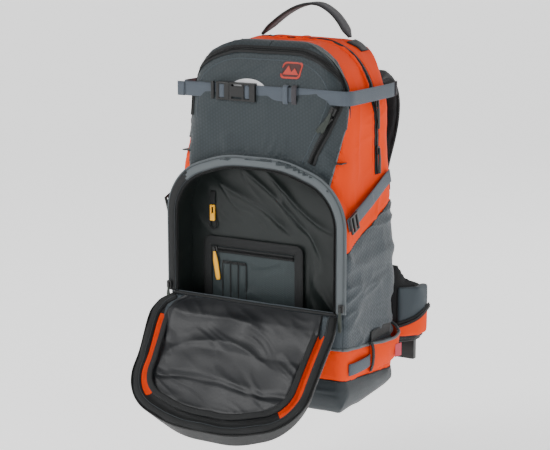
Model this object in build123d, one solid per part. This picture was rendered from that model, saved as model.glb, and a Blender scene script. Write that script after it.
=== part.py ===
from build123d import *
import math
import os

# Ski backpack, all lengths in millimetres.
# Working frame: x to the wearer's left, -y the front that opens, +y the wearer's side, z up from the base.
# Every node is moved at the end so that the hook point inside the haul loop is the origin.

os.makedirs("parts", exist_ok=True)

# ---- driving dimensions -------------------------------------------------------------------------
HALF_W = 146          # half width of the bag body low down
HALF_W_WAIST = 134    # half width where the compression straps pull the sides in
HALF_W_TOP = 127      # half width at the top before the corner rounding
HEIGHT = 517          # base to top of the bag body
REAR = 85             # plane of the back panel
FRONT = -95           # front face of the lower compartment
UPPER_FRONT = -82     # front face of the goggle pocket where it meets the compartment
POCKET_BASE = 352     # height where the goggle pocket front begins to lean back
TOP_FRONT = -56       # front face of the goggle pocket at the top
ARCH_TOP = 358        # top of the compartment block
WALL = 2.5            # padded fabric wall
OPEN_HALF_W = 132     # half width of the arched opening
OPEN_TOP = 346        # top of the arched opening
HINGE_Z = 150         # height of the flap hinge line
DIVIDER = -52         # lining face at the back of the front compartment
FLAP_HALF_W = 138     # half width of the flap
FLAP_LEN = 206        # hinge line to flap tip
FLAP_DEPTH = 34       # depth of the flap tray at the tip
FLAP_ANGLE = 43       # flap from straight down, where it rests open
WEBBING = 20          # width of the narrow webbing
LOOP_HALF = 73        # half span of the haul loop
LOOP_Y = 58           # haul loop station
LOOP_RISE = 48        # haul loop height over the top of the bag
LOOP_FOOT = 514       # height of the haul loop's sewn ends
LOOP_FOLD = 35        # how far the haul loop leans to either side
HOOK = Vector(0, LOOP_Y, HEIGHT + LOOP_RISE - 5)


# ---- helpers ------------------------------------------------------------------------------------
def outline(corners):
    """Closed outline from (u, v) or (u, v, corner radius)."""
    sketch = Polygon(*[(c[0], c[1]) for c in corners], align=None)
    for c in corners:
        if len(c) == 3 and c[2] > 0:
            corner = min(sketch.vertices(), key=lambda p: math.hypot(p.X - c[0], p.Y - c[1]))
            sketch = fillet(corner, c[2])
    return sketch


def ribbon(points, width):
    """Outline of a band of even width that follows a line of points."""
    sides = [[], []]
    for i, (u, v) in enumerate(points):
        before = points[max(i - 1, 0)]
        after = points[min(i + 1, len(points) - 1)]
        here = (u, v)
        a = math.atan2(here[1] - before[1], here[0] - before[0]) if i else None
        b = math.atan2(after[1] - here[1], after[0] - here[0]) if i < len(points) - 1 else a
        a = b if a is None else a
        turn = (b - a + math.pi) % (2 * math.pi) - math.pi
        mid = a + turn / 2
        reach = width / 2 / math.cos(turn / 2)
        sides[0].append((u - reach * math.sin(mid), v + reach * math.cos(mid)))
        sides[1].append((u + reach * math.sin(mid), v - reach * math.cos(mid)))
    return Polygon(*(sides[0] + sides[1][::-1]), align=None)


def arc(cx, cy, rx, ry, start, end, steps):
    """Points on an elliptic arc, angles in degrees."""
    angles = [math.radians(start + (end - start) * i / steps) for i in range(steps + 1)]
    return [(cx + rx * math.cos(a), cy + ry * math.sin(a)) for a in angles]


def along_y(sketch, y0, y1):
    return extrude(Plane((0, y0, 0), x_dir=(1, 0, 0), z_dir=(0, -1, 0)) * sketch, amount=y1 - y0, dir=(0, 1, 0))


def along_x(sketch, x0, x1):
    return extrude(Plane((x0, 0, 0), x_dir=(0, 1, 0), z_dir=(1, 0, 0)) * sketch, amount=x1 - x0, dir=(1, 0, 0))


def along_z(sketch, z0, z1):
    return extrude(Plane((0, 0, z0)) * sketch, amount=z1 - z0, dir=(0, 0, 1))


def box(x0, x1, y0, y1, z0, z1):
    return Pos((x0 + x1) / 2, (y0 + y1) / 2, (z0 + z1) / 2) * Box(x1 - x0, y1 - y0, z1 - z0)


def flipped(solid):
    return mirror(solid, about=Plane.YZ)


def both(solid):
    return Part() + [solid, flipped(solid)]


nodes = {}


def pair(name, solid):
    """One node on the wearer's left (+x) and its mirror image on the right."""
    nodes[name + "_left"] = solid
    nodes[name + "_right"] = flipped(solid)


# ---- bag body: one padded skin, cut into its sewn panels ----------------------------------------
def front_outline(d):
    return outline([
        (-HALF_W + d, d, 28 - d), (HALF_W - d, d, 28 - d), (HALF_W - d, 215), (HALF_W_WAIST - d, 345),
        (HALF_W_TOP - d, HEIGHT - d, 85 - d), (-HALF_W_TOP + d, HEIGHT - d, 85 - d), (-HALF_W_WAIST + d, 345),
        (-HALF_W + d, 215)])


def plan_outline(d, front=UPPER_FRONT):
    """Plan of the bag body: gently rounded in front, well rounded towards the back panel."""
    return outline([(-HALF_W + d, front + d, 22 - d), (HALF_W - d, front + d, 22 - d),
                    (HALF_W - d, REAR - d, 45 - d), (-HALF_W + d, REAR - d, 45 - d)])


def arch_outline(half, floor, top, shoulder, foot=0):
    """Upright arch with round shoulders and a low crown."""
    crown, fall = 0.34 * half, 0.227 * half
    return outline([(-half, floor, foot), (half, floor, foot), (half, top - fall, shoulder), (crown, top, 160),
                    (-crown, top, 160), (-half, top - fall, shoulder)])


def bag(d):
    upper = along_y(front_outline(d), UPPER_FRONT + d, REAR - d) & along_x(outline([
        (UPPER_FRONT + d, d, 20 - d), (REAR - d, d, 40 - d), (REAR - d, HEIGHT - d, 28 - d),
        (TOP_FRONT + d, HEIGHT - d, 20 - d), (UPPER_FRONT + d, POCKET_BASE)]), -160, 160)
    upper = upper & along_z(plan_outline(d), -5, HEIGHT + 5)
    block = along_y(arch_outline(HALF_W - d, d, ARCH_TOP - d, 80 - d, 28 - d), FRONT + d, -60) & along_x(
        outline([(FRONT + d, d, 25 - d), (-60, d), (-60, 400), (FRONT + d, 400)]), -160, 160)
    return upper + block


skin = bag(0) - bag(WALL)


def below(z_front, z_rear):
    """Everything under a seam that runs level across the bag, from the front plane to the rear plane."""
    slope = (z_rear - z_front) / (REAR - FRONT)
    ends = [(-130, z_front + slope * (-130 - FRONT)), (110, z_front + slope * (110 - FRONT))]
    return along_x(Polygon((-130, -20), (110, -20), ends[1], ends[0], align=None), -160, 160)


boot_cut, band_cut = below(53, 36), below(99, 79)
nodes["base_boot"] = skin & boot_cut
nodes["lower_band"] = (skin & band_cut) - boot_cut
rest = skin - band_cut

opening = along_y(arch_outline(OPEN_HALF_W, HINGE_Z, OPEN_TOP, 66), FRONT - 5, FRONT + 10)
front_wall = (rest & box(-160, 160, FRONT - 1, FRONT + WALL, 60, 400)) - opening
nodes["front_panel"] = front_wall & box(-160, 160, -120, 0, 60, HINGE_Z)
nodes["arch_surround"] = front_wall & box(-160, 160, -120, 0, HINGE_Z, 400)
rest = rest - box(-160, 160, FRONT - 1, FRONT + WALL, 60, 400)

nodes["back_panel"] = rest & box(-160, 160, REAR - WALL, REAR + 1, 60, 540)
rest = rest - box(-160, 160, REAR - WALL, REAR + 1, 60, 540)

pocket_cut = along_x(Polygon((-100, 356), (-77, 356), (-52, 430), (-34, 530), (-100, 530), align=None), -160, 160)
pocket_cut = pocket_cut + box(-112, 112, -100, -79, 300, 366)
nodes["goggle_pocket"] = rest & pocket_cut
rest = rest - pocket_cut

colour_seam = along_x(Polygon((-100, 229), (55, 284), (100, 284), (100, 40), (-100, 40), align=None), -160, 160)
nodes["upper_shell"] = rest - colour_seam
nodes["side_panels"] = rest & colour_seam

# ---- front compartment: arched well behind the flap ---------------------------------------------
well_outer = arch_outline(136, 109.5, 352, 70, 12)
well_inner = arch_outline(133.5, 112, 349.5, 67.5, 9.5)
nodes["compartment_gusset"] = along_y(well_outer - well_inner, FRONT + WALL, DIVIDER)
nodes["compartment_lining"] = along_y(well_outer, DIVIDER, DIVIDER + 2)
nodes["front_zip_track"] = along_y(arch_outline(143.5, 153, 355.5, 77.5) - arch_outline(138.7, 120, 350.7, 72.7),
                                   FRONT - 1.2, FRONT)

# organiser on the lining: binding frame, mesh panel, pen slots
nodes["organizer_binding"] = (box(-106, 57, -57, DIVIDER, 113, 229) - box(-98, 47, -60, -40, 100, 217)
                              + box(-99, -89, -54, DIVIDER, 276, 292))
nodes["organizer_pocket"] = box(-98, 47, -55.7, -53.9, 113, 217)
nodes["pen_slots"] = Part() + [box(x, x + 12, -58.7, -55.7, 118, 194) for x in (-75, -61.5, -48)]

# ---- goggle pocket and main compartment, inside -------------------------------------------------
inside = bag(WALL)
nodes["goggle_pocket_lining"] = inside & (box(-160, 160, -50, -48.5, 357.5, 540)
                                          + box(-160, 160, -100, -50, 356, 357.5))
nodes["frame_sheet"] = along_y(outline([(-100, 45, 20), (100, 45, 20), (95, 470, 50), (-95, 470, 50)]), 80, 81.5)
nodes["frame_stays"] = both(box(34, 46, 77, 80, 55, 455))
nodes["hydration_sleeve"] = (box(-95, 95, 66, 76.5, 60, 400) - box(-93.5, 93.5, 67.5, 75, 61.5, 410))

# leaning plane of the goggle pocket front
lean = math.atan2(TOP_FRONT - UPPER_FRONT, HEIGHT - POCKET_BASE)
pocket_plane = Plane((0, UPPER_FRONT, POCKET_BASE), x_dir=(1, 0, 0), z_dir=(0, -math.cos(lean), math.sin(lean)))


def on_pocket(sketch, rise, thick):
    return extrude(pocket_plane.offset(rise) * sketch, amount=thick, dir=pocket_plane.z_dir)


zip_line = [(-116, 66), (-114, 95)] + arc(-37, 95, 77, 54, 175, 92, 8) + arc(40, 95, 76, 54, 88, 5, 8) \
    + [(116, 80), (84, 8)]
nodes["goggle_zip"] = on_pocket(ribbon(zip_line, 7), 0, 1.4)

# main compartment zip over the top and down both sides
nodes["main_zip_track"] = (along_y(front_outline(-1.5), 14, 22) - along_y(front_outline(0), 13, 23)) \
    & box(-160, 160, 0, 40, 330, 540)

# ---- flap: tray that hinges at its lower edge, hanging open -------------------------------------
lean_out = math.radians(FLAP_ANGLE)
flap_plane = Plane((0, FRONT - 1.5, HINGE_Z), x_dir=(1, 0, 0), z_dir=(0, math.cos(lean_out), -math.sin(lean_out)))
HEM, ROOT, SHELL = 14, 3, 2
slope = (FLAP_DEPTH - ROOT) / (FLAP_LEN - ROOT)


def tray(v):
    """Depth of the tray at distance v from the hinge."""
    return ROOT + slope * (v - ROOT)


def flap_outline(d):
    return arch_outline(FLAP_HALF_W - d, ROOT, FLAP_LEN - d, 74 - d)


def flap_piece(sketch, profile):
    """Part of the flap: a plan outline cut by a profile of (distance, depth) points."""
    solid = extrude(sketch, amount=60, dir=(0, 0, 1)) & along_x(Polygon(*profile, align=None), -160, 160)
    return flap_plane.location * solid


def skin_band(v0, v1, top, bottom):
    return [(v0, tray(v0) - top), (v1, tray(v1) - top), (v1, tray(v1) - bottom), (v0, tray(v0) - bottom)]


nodes["flap_shell"] = flap_piece(flap_outline(0), skin_band(ROOT, FLAP_LEN, 0, SHELL))
nodes["flap_gusset"] = flap_piece(flap_outline(0) - flap_outline(2.4),
                                  [(14, 2), (FLAP_LEN, 2), (FLAP_LEN, tray(FLAP_LEN) - SHELL), (14, tray(14) - SHELL)])
nodes["flap_lining"] = flap_piece(flap_outline(2.4), skin_band(26, FLAP_LEN, SHELL, SHELL + 1.8))
nodes["flap_binding"] = flap_piece(flap_outline(0) - flap_outline(HEM), [(14, 0), (FLAP_LEN, 0), (FLAP_LEN, 2), (14, 2)])

# ---- zip sliders: body and hanging pull ---------------------------------------------------------
front_slider = box(138.9, 146.5, -101, FRONT - 1.3, 154, 166) + box(140.5, 145, -103, -100.8, 126, 156)
pair("front_slider", front_slider)

zip_leg = Vector(84 - 116, 8 - 80, 0).normalized()
leg_turn = math.degrees(math.atan2(zip_leg.Y, zip_leg.X))
pull_plane = pocket_plane.offset(1.6)
nodes["goggle_slider"] = pull_plane.location * (
    Pos(113.5, 74.5, 1.5) * Rot(0, 0, leg_turn) * Box(11, 8, 3) + Pos(108.5, 61, 3.4) * Rot(0, 0, leg_turn) * Box(30, 7, 2))



def side_at(z):
    """Half width of the bag at height z on its straight tapering side."""
    return HALF_W_WAIST - (HALF_W_WAIST - HALF_W_TOP) * (z - 345) / (HEIGHT - 345)


slider_lean = math.degrees(math.atan2(HALF_W_WAIST - HALF_W_TOP, HEIGHT - 345))
main_slider = Rot(0, -slider_lean, 0) * (Pos(3.3, 0, 0) * Box(3, 8, 12) + Pos(4, 0, -20) * Box(2, 5, 30))
nodes["main_slider_upper"] = Pos(side_at(431), 18, 431) * main_slider
nodes["main_slider_lower"] = Pos(side_at(364), 18, 364) * main_slider
nodes["organizer_slider"] = box(-94, -83, -61, -57.4, 205, 217) + box(-93, -84, -62.5, -60, 165, 209)
nodes["key_clip"] = box(-98, -90, -58, -54.4, 252, 277) + (
    along_y(Pos(-94, 247) * Circle(7), -57.5, -55) - along_y(Pos(-94, 247) * Circle(5), -60, -50))

# ---- webbing over the front, its buckle, compression straps -------------------------------------
STRAP_Z = 436
STRAP_X, STRAP_Y = 137.5, -71.2
strap_corner = [(STRAP_X - 8, 80), (STRAP_X, 58), (STRAP_X, STRAP_Y)]


def flat_strap(points, z0=STRAP_Z, wide=WEBBING, thick=1.6):
    return along_z(ribbon(points, thick), z0, z0 + wide)


nodes["front_strap_left"] = flat_strap(strap_corner + [(-13, STRAP_Y)])
nodes["front_strap_right"] = flat_strap([(-66, STRAP_Y)] + [(-x, y) for x, y in strap_corner[::-1]]) \
    + flat_strap([(-104, STRAP_Y - 1.6), (-141, STRAP_Y - 1.6)])
BUCKLE_Y = STRAP_Y - 1.2
bz = STRAP_Z + WEBBING / 2
buckle_fork = Part() + [box(-51, -31, BUCKLE_Y - 4.3, BUCKLE_Y - 2.3, z - 2, z + 2) for z in (bz - 5.5, bz, bz + 5.5)]
nodes["front_buckle_female"] = (box(-50, -8, BUCKLE_Y - 6.5, BUCKLE_Y, bz - 13, bz + 13)
                                - box(-51, -30, BUCKLE_Y - 5.2, BUCKLE_Y - 1.4, bz - 9.5, bz + 9.5)
                                - box(-27, -17, BUCKLE_Y - 8, BUCKLE_Y + 1, bz - 10, bz + 10))
nodes["front_buckle_male"] = (box(-73, -50.4, BUCKLE_Y - 6.5, BUCKLE_Y, bz - 13, bz + 13)
                              - box(-69, -59, BUCKLE_Y - 8, BUCKLE_Y + 1, bz - 10, bz + 10)) + buckle_fork
nodes["strap_keepers"] = Part() + [box(x, x + 8, STRAP_Y - 3.4, STRAP_Y - 0.9, bz - 12, bz + 12) for x in (36, 50)]

comp_line = Vector(-8, 130, 46).normalized()
comp_plane = Plane((147.2, -85, 276), x_dir=comp_line, z_dir=comp_line.cross(Vector(-12, 0, 130)).normalized())
compression = comp_plane.location * (Pos(70, 0, 0.8) * Box(148, WEBBING, 1.6))
nodes["compression_straps"] = both(compression)
pair("tri_glide", comp_plane.location * (
    Pos(6, 0, 3.6) * Box(22, 26, 3) - Pos(1, 0, 3.6) * Box(4, 21, 5) - Pos(11, 0, 3.6) * Box(4, 21, 5)))

# ---- haul loop, with the hook point under its crown ---------------------------------------------
loop_line = arc(0, LOOP_FOOT, LOOP_HALF, HEIGHT + LOOP_RISE - 2.5 - LOOP_FOOT, 180, 0, 20)
spread = 12.5 * math.tan(math.radians(LOOP_FOLD))
nodes["haul_loop"] = along_y(ribbon(loop_line, 5), LOOP_Y - 12.5, LOOP_Y + 12.5) & along_x(outline([
    (LOOP_Y - 12.5, LOOP_FOOT + 1 + spread), (LOOP_Y - 1.5, LOOP_FOOT + 1), (LOOP_Y + 1.5, LOOP_FOOT + 1),
    (LOOP_Y + 12.5, LOOP_FOOT + 1 + spread), (LOOP_Y + 12.5, HEIGHT + 60), (LOOP_Y - 12.5, HEIGHT + 60)]), -90, 90)

# ---- wearer's side: pads, shoulder straps, load lifters, sternum strap --------------------------
nodes["back_pads"] = both(along_y(outline([(12, 150, 16), (57, 150, 16), (57, 445, 20), (12, 445, 16)]), REAR, 94))
nodes["lumbar_pad"] = along_y(outline([(-84, 66, 20), (84, 66, 20), (84, 142, 20), (-84, 142, 20)]), REAR, 98)
strap_line = [(REAR + 3, 452), (112, 461), (134, 452), (150, 432), (155, 410), (151, 384), (139, 357), (122, 328),
              (108, 292), (104, 254)]
shoulder_strap = along_x(ribbon(strap_line, 12), 38, 100)
lower_strap = along_x(ribbon([(104, 258), (95, 236), (REAR + 1.4, 150)], 1.6), 60, 85)
load_lifter = along_x(ribbon([(130, 460), (86, 489)], 1.6), 58, 78)
nodes["shoulder_straps"] = both(shoulder_strap)
nodes["strap_webbing"] = both((lower_strap + load_lifter) - shoulder_strap)
nodes["ladder_locks"] = both(along_x(ribbon([(111, 250), (104, 238)], 5), 56, 89) - shoulder_strap - lower_strap)
nodes["sternum_webbing"] = box(-78, 78, 161.9, 163.5, 390, 410)
nodes["sternum_buckle"] = box(-24, 24, 159.7, 167.3, 387, 413) - box(-25, 25, 161.7, 163.7, 389.8, 410.2)

# ---- hip belt wings with pockets, webbing and buckle halves -------------------------------------
wing_line = [(104, 94), (128, 102), (147, 120), (148, 142), (134, 160), (108, 170)]
wing = along_z(ribbon(wing_line, 9), 66, 182) & along_x(Polygon(
    (80, 60), (180, 60), (180, 138), (130, 142), (112, 160), (100, 182), (80, 182), align=None), 90, 160)
pair("hip_wing", wing)
pocket_line = [(130.5, 95.8), (153.8, 115.4), (155.9, 140)]
hip_pocket = along_z(ribbon(pocket_line, 12), 74, 150) - wing
hip_hollow = along_z(ribbon([(132.5, 97.5), (153.8, 115.9), (155.6, 136)], 6), 76, 148)
pair("hip_pocket", hip_pocket - hip_hollow)
pair("hip_webbing", box(96, 121, 175, 176.6, 62, 128))
nodes["hip_buckle_female"] = box(94, 123, 171, 180.5, 18, 62) - box(97, 120, 173, 178.5, 10, 50)
nodes["hip_buckle_male"] = box(-123, -94, 171, 180.5, 44, 62) + Part() + [
    box(-x - 5, -x, 173, 178.5, 18, 44) for x in (97, 106, 115)]

# ---- small sewn items ---------------------------------------------------------------------------


def beside(d0, d1, y0, y1, z0, z1):
    """Wall that follows the side and rear corner of the bag, from d0 to d1 outside it."""
    return along_z(plan_outline(-d1, FRONT) - plan_outline(-d0, FRONT), z0, z1) & box(90, 170, y0, y1, z0, z1)


bottle = beside(0.2, 11.4, -18, 74, 50, 92) - beside(0, 9.4, -15.5, 71.5, 52.5, 100)
nodes["side_pockets"] = both(bottle)
nodes["gear_loops"] = both(box(146.1, 148.2, -80, -22, 60, 78))
nodes["patches"] = both(beside(11.5, 12.6, 38, 54, 58, 80)) + on_pocket(Pos(44, 128) * RectangleRounded(30, 22, 4), 0, 1.6)
nodes["strap_badge"] = on_pocket(Pos(-23, 98) * (Ellipse(30, 14) & Rectangle(80, 40, align=(Align.CENTER, Align.MIN))),
                                 0, 1.2)

for name, shape in nodes.items():
    export_step(Pos(-HOOK.X, -HOOK.Y, -HOOK.Z) * shape, f"parts/{name}.step")
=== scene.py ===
import bmesh
import bpy
import math
import numpy as np
from mathutils import Matrix, Vector
from mathutils.bvhtree import BVHTree


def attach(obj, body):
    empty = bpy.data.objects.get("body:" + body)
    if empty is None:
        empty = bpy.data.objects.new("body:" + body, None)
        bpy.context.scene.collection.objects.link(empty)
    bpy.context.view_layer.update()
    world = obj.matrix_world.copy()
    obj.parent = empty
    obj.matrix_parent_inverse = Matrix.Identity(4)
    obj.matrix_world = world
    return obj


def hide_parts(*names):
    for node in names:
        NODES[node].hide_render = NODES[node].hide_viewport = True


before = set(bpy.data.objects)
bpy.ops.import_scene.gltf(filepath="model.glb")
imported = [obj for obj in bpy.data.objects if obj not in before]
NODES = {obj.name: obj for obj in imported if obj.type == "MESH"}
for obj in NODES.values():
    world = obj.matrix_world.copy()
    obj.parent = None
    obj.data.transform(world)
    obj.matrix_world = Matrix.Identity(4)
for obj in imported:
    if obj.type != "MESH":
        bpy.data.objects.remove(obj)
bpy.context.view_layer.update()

# Ski backpack. Shapes are laid out in millimetres in the pack's own frame (z up from the base) and
# moved to the shared frame by HOOK, the hook point inside the haul loop.
HOOK = np.array([0.0, 58.0, 560.0])
CLOTH = 1.2          # thickness of the bag's cloth, mm
FLOOR_Z = -170.0     # the studio floor, well under the hanging flap


def metres(points):
    """From the pack's own millimetres to the shared frame's metres."""
    return (np.asarray(points, float) - HOOK) / 1000.0


# ---- colours and materials ------------------------------------------------------------------------
def linear(rgb):
    """Linear colour with alpha from 0-255 screen values."""
    return tuple(((c / 255 + 0.055) / 1.055) ** 2.4 if c > 10 else c / 255 / 12.92 for c in rgb) + (1.0,)


class Nodes:
    """Short way to add linked shader nodes."""

    def __init__(self, material):
        self.tree = material.node_tree
        self.shader = self.tree.nodes["Principled BSDF"]

    def add(self, kind, inputs=(), **settings):
        node = self.tree.nodes.new(kind)
        for key, value in settings.items():
            setattr(node, key, value)
        for key, value in dict(inputs).items():
            if isinstance(value, bpy.types.NodeSocket):
                self.tree.links.new(value, node.inputs[key])
            else:
                node.inputs[key].default_value = value
        return node

    def math(self, operation, a, b=0.0):
        return self.add("ShaderNodeMath", {0: a, 1: b}, operation=operation).outputs[0]

    def dot(self, vector, direction):
        return self.add("ShaderNodeVectorMath", {0: vector, 1: direction},
                        operation="DOT_PRODUCT").outputs["Value"]


SLOT_OF = {}


def material(name, slot, rgb, rough=0.7, pattern=None, size=1.0, bump=0.3, depth=0.4, vary=0.12, sheen=0.15,
             coat=0.0,
             metal=0.0, low=0.8):
    """Procedural cloth, webbing, mesh or plastic for a slot. size is the pattern's repeat in mm."""
    mat = bpy.data.materials.new(name)
    SLOT_OF[mat] = slot
    mat.use_nodes = True
    n = Nodes(mat)
    n.shader.inputs["Metallic"].default_value = metal
    n.shader.inputs["Coat Weight"].default_value = coat
    n.shader.inputs["Sheen Weight"].default_value = sheen
    n.shader.inputs["Specular IOR Level"].default_value = 0.35
    coords = n.add("ShaderNodeTexCoord")
    place = coords.outputs["Object"]
    blotch = n.add("ShaderNodeTexNoise", {"Vector": place, "Scale": 14.0, "Detail": 4.0})
    grain = n.add("ShaderNodeTexNoise", {"Vector": place, "Scale": 420.0, "Detail": 3.0})
    height = n.math("MULTIPLY", grain.outputs["Fac"], 0.5)
    shade = n.math("ADD", n.math("MULTIPLY", blotch.outputs["Fac"], vary), 1.0 - vary / 2)
    k = 2 * math.pi / (size / 1000.0)
    if pattern in ("hex", "weave", "mesh"):
        waves = []
        angles = (0, 60, 120) if pattern != "weave" else (0, 90)
        for angle in angles:
            c, s = math.cos(math.radians(angle)), math.sin(math.radians(angle))
            phase = n.dot(place, (k * c, k * c, k * s))
            waves.append(n.math("COSINE", phase))
        total = waves[0]
        for wave in waves[1:]:
            total = n.math("ADD", total, wave)
        cells = n.add("ShaderNodeMapRange", {"Value": total, "From Min": -1.5 if pattern != "weave" else -2.0,
                                             "From Max": 2.2, "To Min": 0.0, "To Max": 1.0}).outputs[0]
        height = n.math("ADD", height, n.math("MULTIPLY", cells, 1.0))
        shade = n.math("MULTIPLY", shade, n.math("ADD", n.math("MULTIPLY", cells, 1.0 - low), low))
    if pattern == "webbing":
        uv = coords.outputs["UV"]
        ribs = n.math("COSINE", n.dot(uv, (0.0, k, 0.0)))
        chevron = n.math("COSINE", n.dot(uv, (k * 0.7, k * 0.5, 0.0)))
        total = n.math("ADD", ribs, n.math("MULTIPLY", chevron, 0.7))
        height = n.math("ADD", height, n.math("MULTIPLY", total, 0.5))
        shade = n.math("MULTIPLY", shade, n.math("ADD", n.math("MULTIPLY", total, 0.09), 0.94))
    if pattern == "teeth":
        uv = coords.outputs["UV"]
        ribs = n.math("COSINE", n.dot(uv, (0.0, k, 0.0)))
        height = n.math("ADD", height, ribs)
    base = linear(rgb)
    mix = n.add("ShaderNodeVectorMath", {0: base[:3], "Scale": shade}, operation="SCALE")
    n.tree.links.new(mix.outputs[0], n.shader.inputs["Base Color"])
    rough_out = n.math("ADD", n.math("MULTIPLY", grain.outputs["Fac"], 0.16), rough - 0.08)
    n.tree.links.new(rough_out, n.shader.inputs["Roughness"])
    bump_node = n.add("ShaderNodeBump", {"Height": height, "Strength": bump, "Distance": depth / 1000.0})
    n.tree.links.new(bump_node.outputs[0], n.shader.inputs["Normal"])
    return mat


ORANGE = material("orange nylon", "orange_fabric", (232, 62, 0), 0.75, "weave", 1.1, 0.35, 0.25, 0.08, 0.0,
                  low=0.93)
ORANGE.node_tree.nodes["Principled BSDF"].inputs["Specular IOR Level"].default_value = 0.15
GREY = material("grey honeycomb ripstop", "grey_fabric", (54, 63, 69), 0.58, "hex", 4.6, 0.55, 0.5, 0.1,
                0.1, low=0.74)
POCKET_GREY = material("pocket honeycomb ripstop", "grey_fabric", (42, 51, 55), 0.6, "hex", 4.6, 0.55, 0.5,
                       0.1, 0.1, low=0.74)
SMOOTH_GREY = material("smooth grey nylon", "grey_fabric", (53, 62, 68), 0.6, "weave", 1.0, 0.3, 0.25, 0.1,
                       0.1, low=0.93)
BOOT = material("bottom fabric", "grey_fabric", (39, 46, 50), 0.6, "weave", 1.6, 0.45, 0.4, 0.12, 0.1,
                low=0.88)
LINING = material("coated lining", "lining_fabric", (21, 27, 26), 0.42, "weave", 0.9, 0.2, 0.2, 0.14, 0.0,
                  low=0.95)
FLAP_LINING = material("flap lining", "lining_fabric", (25, 27, 30), 0.42, "weave", 0.9, 0.2, 0.2, 0.22,
                       0.0, low=0.95)
BINDING = material("black binding tape", "black_fabric", (20, 22, 23), 0.66, "weave", 0.8, 0.4, 0.3, 0.1,
                   0.05, low=0.8)
GREY_BINDING = material("grey binding tape", "webbing", (88, 94, 97), 0.66, "weave", 0.9, 0.4, 0.3, 0.08,
                        0.1, low=0.88)
BLACK_CLOTH = material("black backing cloth", "black_fabric", (26, 27, 29), 0.72, "hex", 3.0, 0.5, 0.5, 0.1,
                       0.1, low=0.7)
SPACER = material("spacer mesh", "padding", (24, 25, 27), 0.8, "mesh", 3.4, 0.9, 1.0, 0.08, 0.1, low=0.35)
POCKET_MESH = material("organiser cloth", "black_fabric", (50, 60, 62), 0.55, "hex", 2.4, 0.5, 0.4, 0.12,
                       0.05, low=0.7)
WEBBING = material("grey webbing", "webbing", (76, 84, 93), 0.75, "webbing", 1.6, 0.6, 0.5, 0.06, 0.1)
DARK_WEBBING = material("dark webbing", "webbing", (58, 56, 60), 0.75, "webbing", 1.6, 0.6, 0.5, 0.06, 0.1)
TEETH = material("zip coil", "zip", (12, 13, 14), 0.4, "teeth", 1.6, 1.0, 0.8, 0.05, 0.0)
PLASTIC = material("black acetal", "black_plastic", (20, 21, 21), 0.38, None, 1.0, 0.12, 0.1, 0.05, 0.0,
                   coat=0.15)
OLIVE = material("olive rubber pull", "black_plastic", (44, 50, 45), 0.5, None, 1.0, 0.15, 0.15, 0.08, 0.0)
YELLOW = material("yellow rubber pull", "yellow_rubber", (244, 178, 44), 0.45, None, 1.0, 0.12, 0.1, 0.06,
                  0.0)
RED = material("red patch rubber", "patch_rubber", (176, 56, 44), 0.55, None, 1.0, 0.2, 0.15, 0.1, 0.0)
DARK_RED = material("patch ground", "patch_rubber", (66, 34, 32), 0.6, None, 1.0, 0.2, 0.15, 0.1, 0.0)
PINK = material("side label cloth", "patch_rubber", (196, 62, 78), 0.7, "weave", 0.8, 0.4, 0.2, 0.1, 0.1,
                low=0.85)
PALE = material("pale badge", "patch_rubber", (205, 206, 208), 0.5, None, 1.0, 0.15, 0.1, 0.05, 0.0)
SHEET = material("white plastic sheet", "stiffener", (200, 200, 196), 0.4, None, 1.0, 0.1, 0.1, 0.03, 0.0)
METAL = material("anodised stay", "aluminium", (170, 172, 176), 0.35, None, 1.0, 0.08, 0.05, 0.04, 0.0,
                 metal=1.0)
THREAD = material("thread", "webbing", (52, 58, 62), 0.8, None, 1.0, 0.3, 0.1, 0.05, 0.1)


# ---- mesh helpers ---------------------------------------------------------------------------------
def finish(obj, body, replaces=(), slot=None, mats=()):
    """Materials, the nodes it stands for and its body, for one piece; its slot is worked out but not kept."""
    for mat in mats:
        obj.data.materials.append(mat)
    if replaces:
        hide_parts(*replaces)
    slot = slot or (SLOT_OF[mats[0]] if mats else None)
    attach(obj, body)
    return obj


def mesh_object(name, points, faces, mat, body="pack", replaces=(), slot=None, uv=None, smooth=True):
    """A piece from points in the pack's millimetres."""
    mesh = bpy.data.meshes.new(name)
    mesh.from_pydata(metres(points).tolist(), [], [list(map(int, f)) for f in faces])
    if uv is not None:
        layer = mesh.uv_layers.new(name="UVMap")
        loops = np.empty(len(mesh.loops), int)
        mesh.loops.foreach_get("vertex_index", loops)
        layer.data.foreach_set("uv", (np.asarray(uv, float)[loops] / 1000.0).ravel())
    mesh.polygons.foreach_set("use_smooth", [smooth] * len(mesh.polygons))
    mesh.update()
    obj = bpy.data.objects.new(name, mesh)
    bpy.context.collection.objects.link(obj)
    bm = bmesh.new()
    bm.from_mesh(mesh)
    bmesh.ops.recalc_face_normals(bm, faces=bm.faces)
    bm.to_mesh(mesh)
    bm.free()
    return finish(obj, body, replaces, slot, [mat])


def thicken(obj):
    """Gives an open sheet of cloth its thickness, towards the inside."""
    thick = obj.modifiers.new("thickness", "SOLIDIFY")
    thick.thickness, thick.offset = CLOTH / 1000, -1.0


def unit(v):
    v = np.asarray(v, float)
    return v / np.maximum(np.linalg.norm(v, axis=-1, keepdims=True), 1e-9)


def tangents(path):
    return unit(np.gradient(path, axis=0))


def even(path, step):
    """The same line with points every step mm."""
    path = np.asarray(path, float)
    lengths = np.r_[0, np.cumsum(np.linalg.norm(np.diff(path, axis=0), axis=1))]
    count = max(int(lengths[-1] / step), 2)
    at = np.linspace(0, lengths[-1], count + 1)
    return np.stack([np.interp(at, lengths, path[:, i]) for i in range(path.shape[1])], axis=1)


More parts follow.
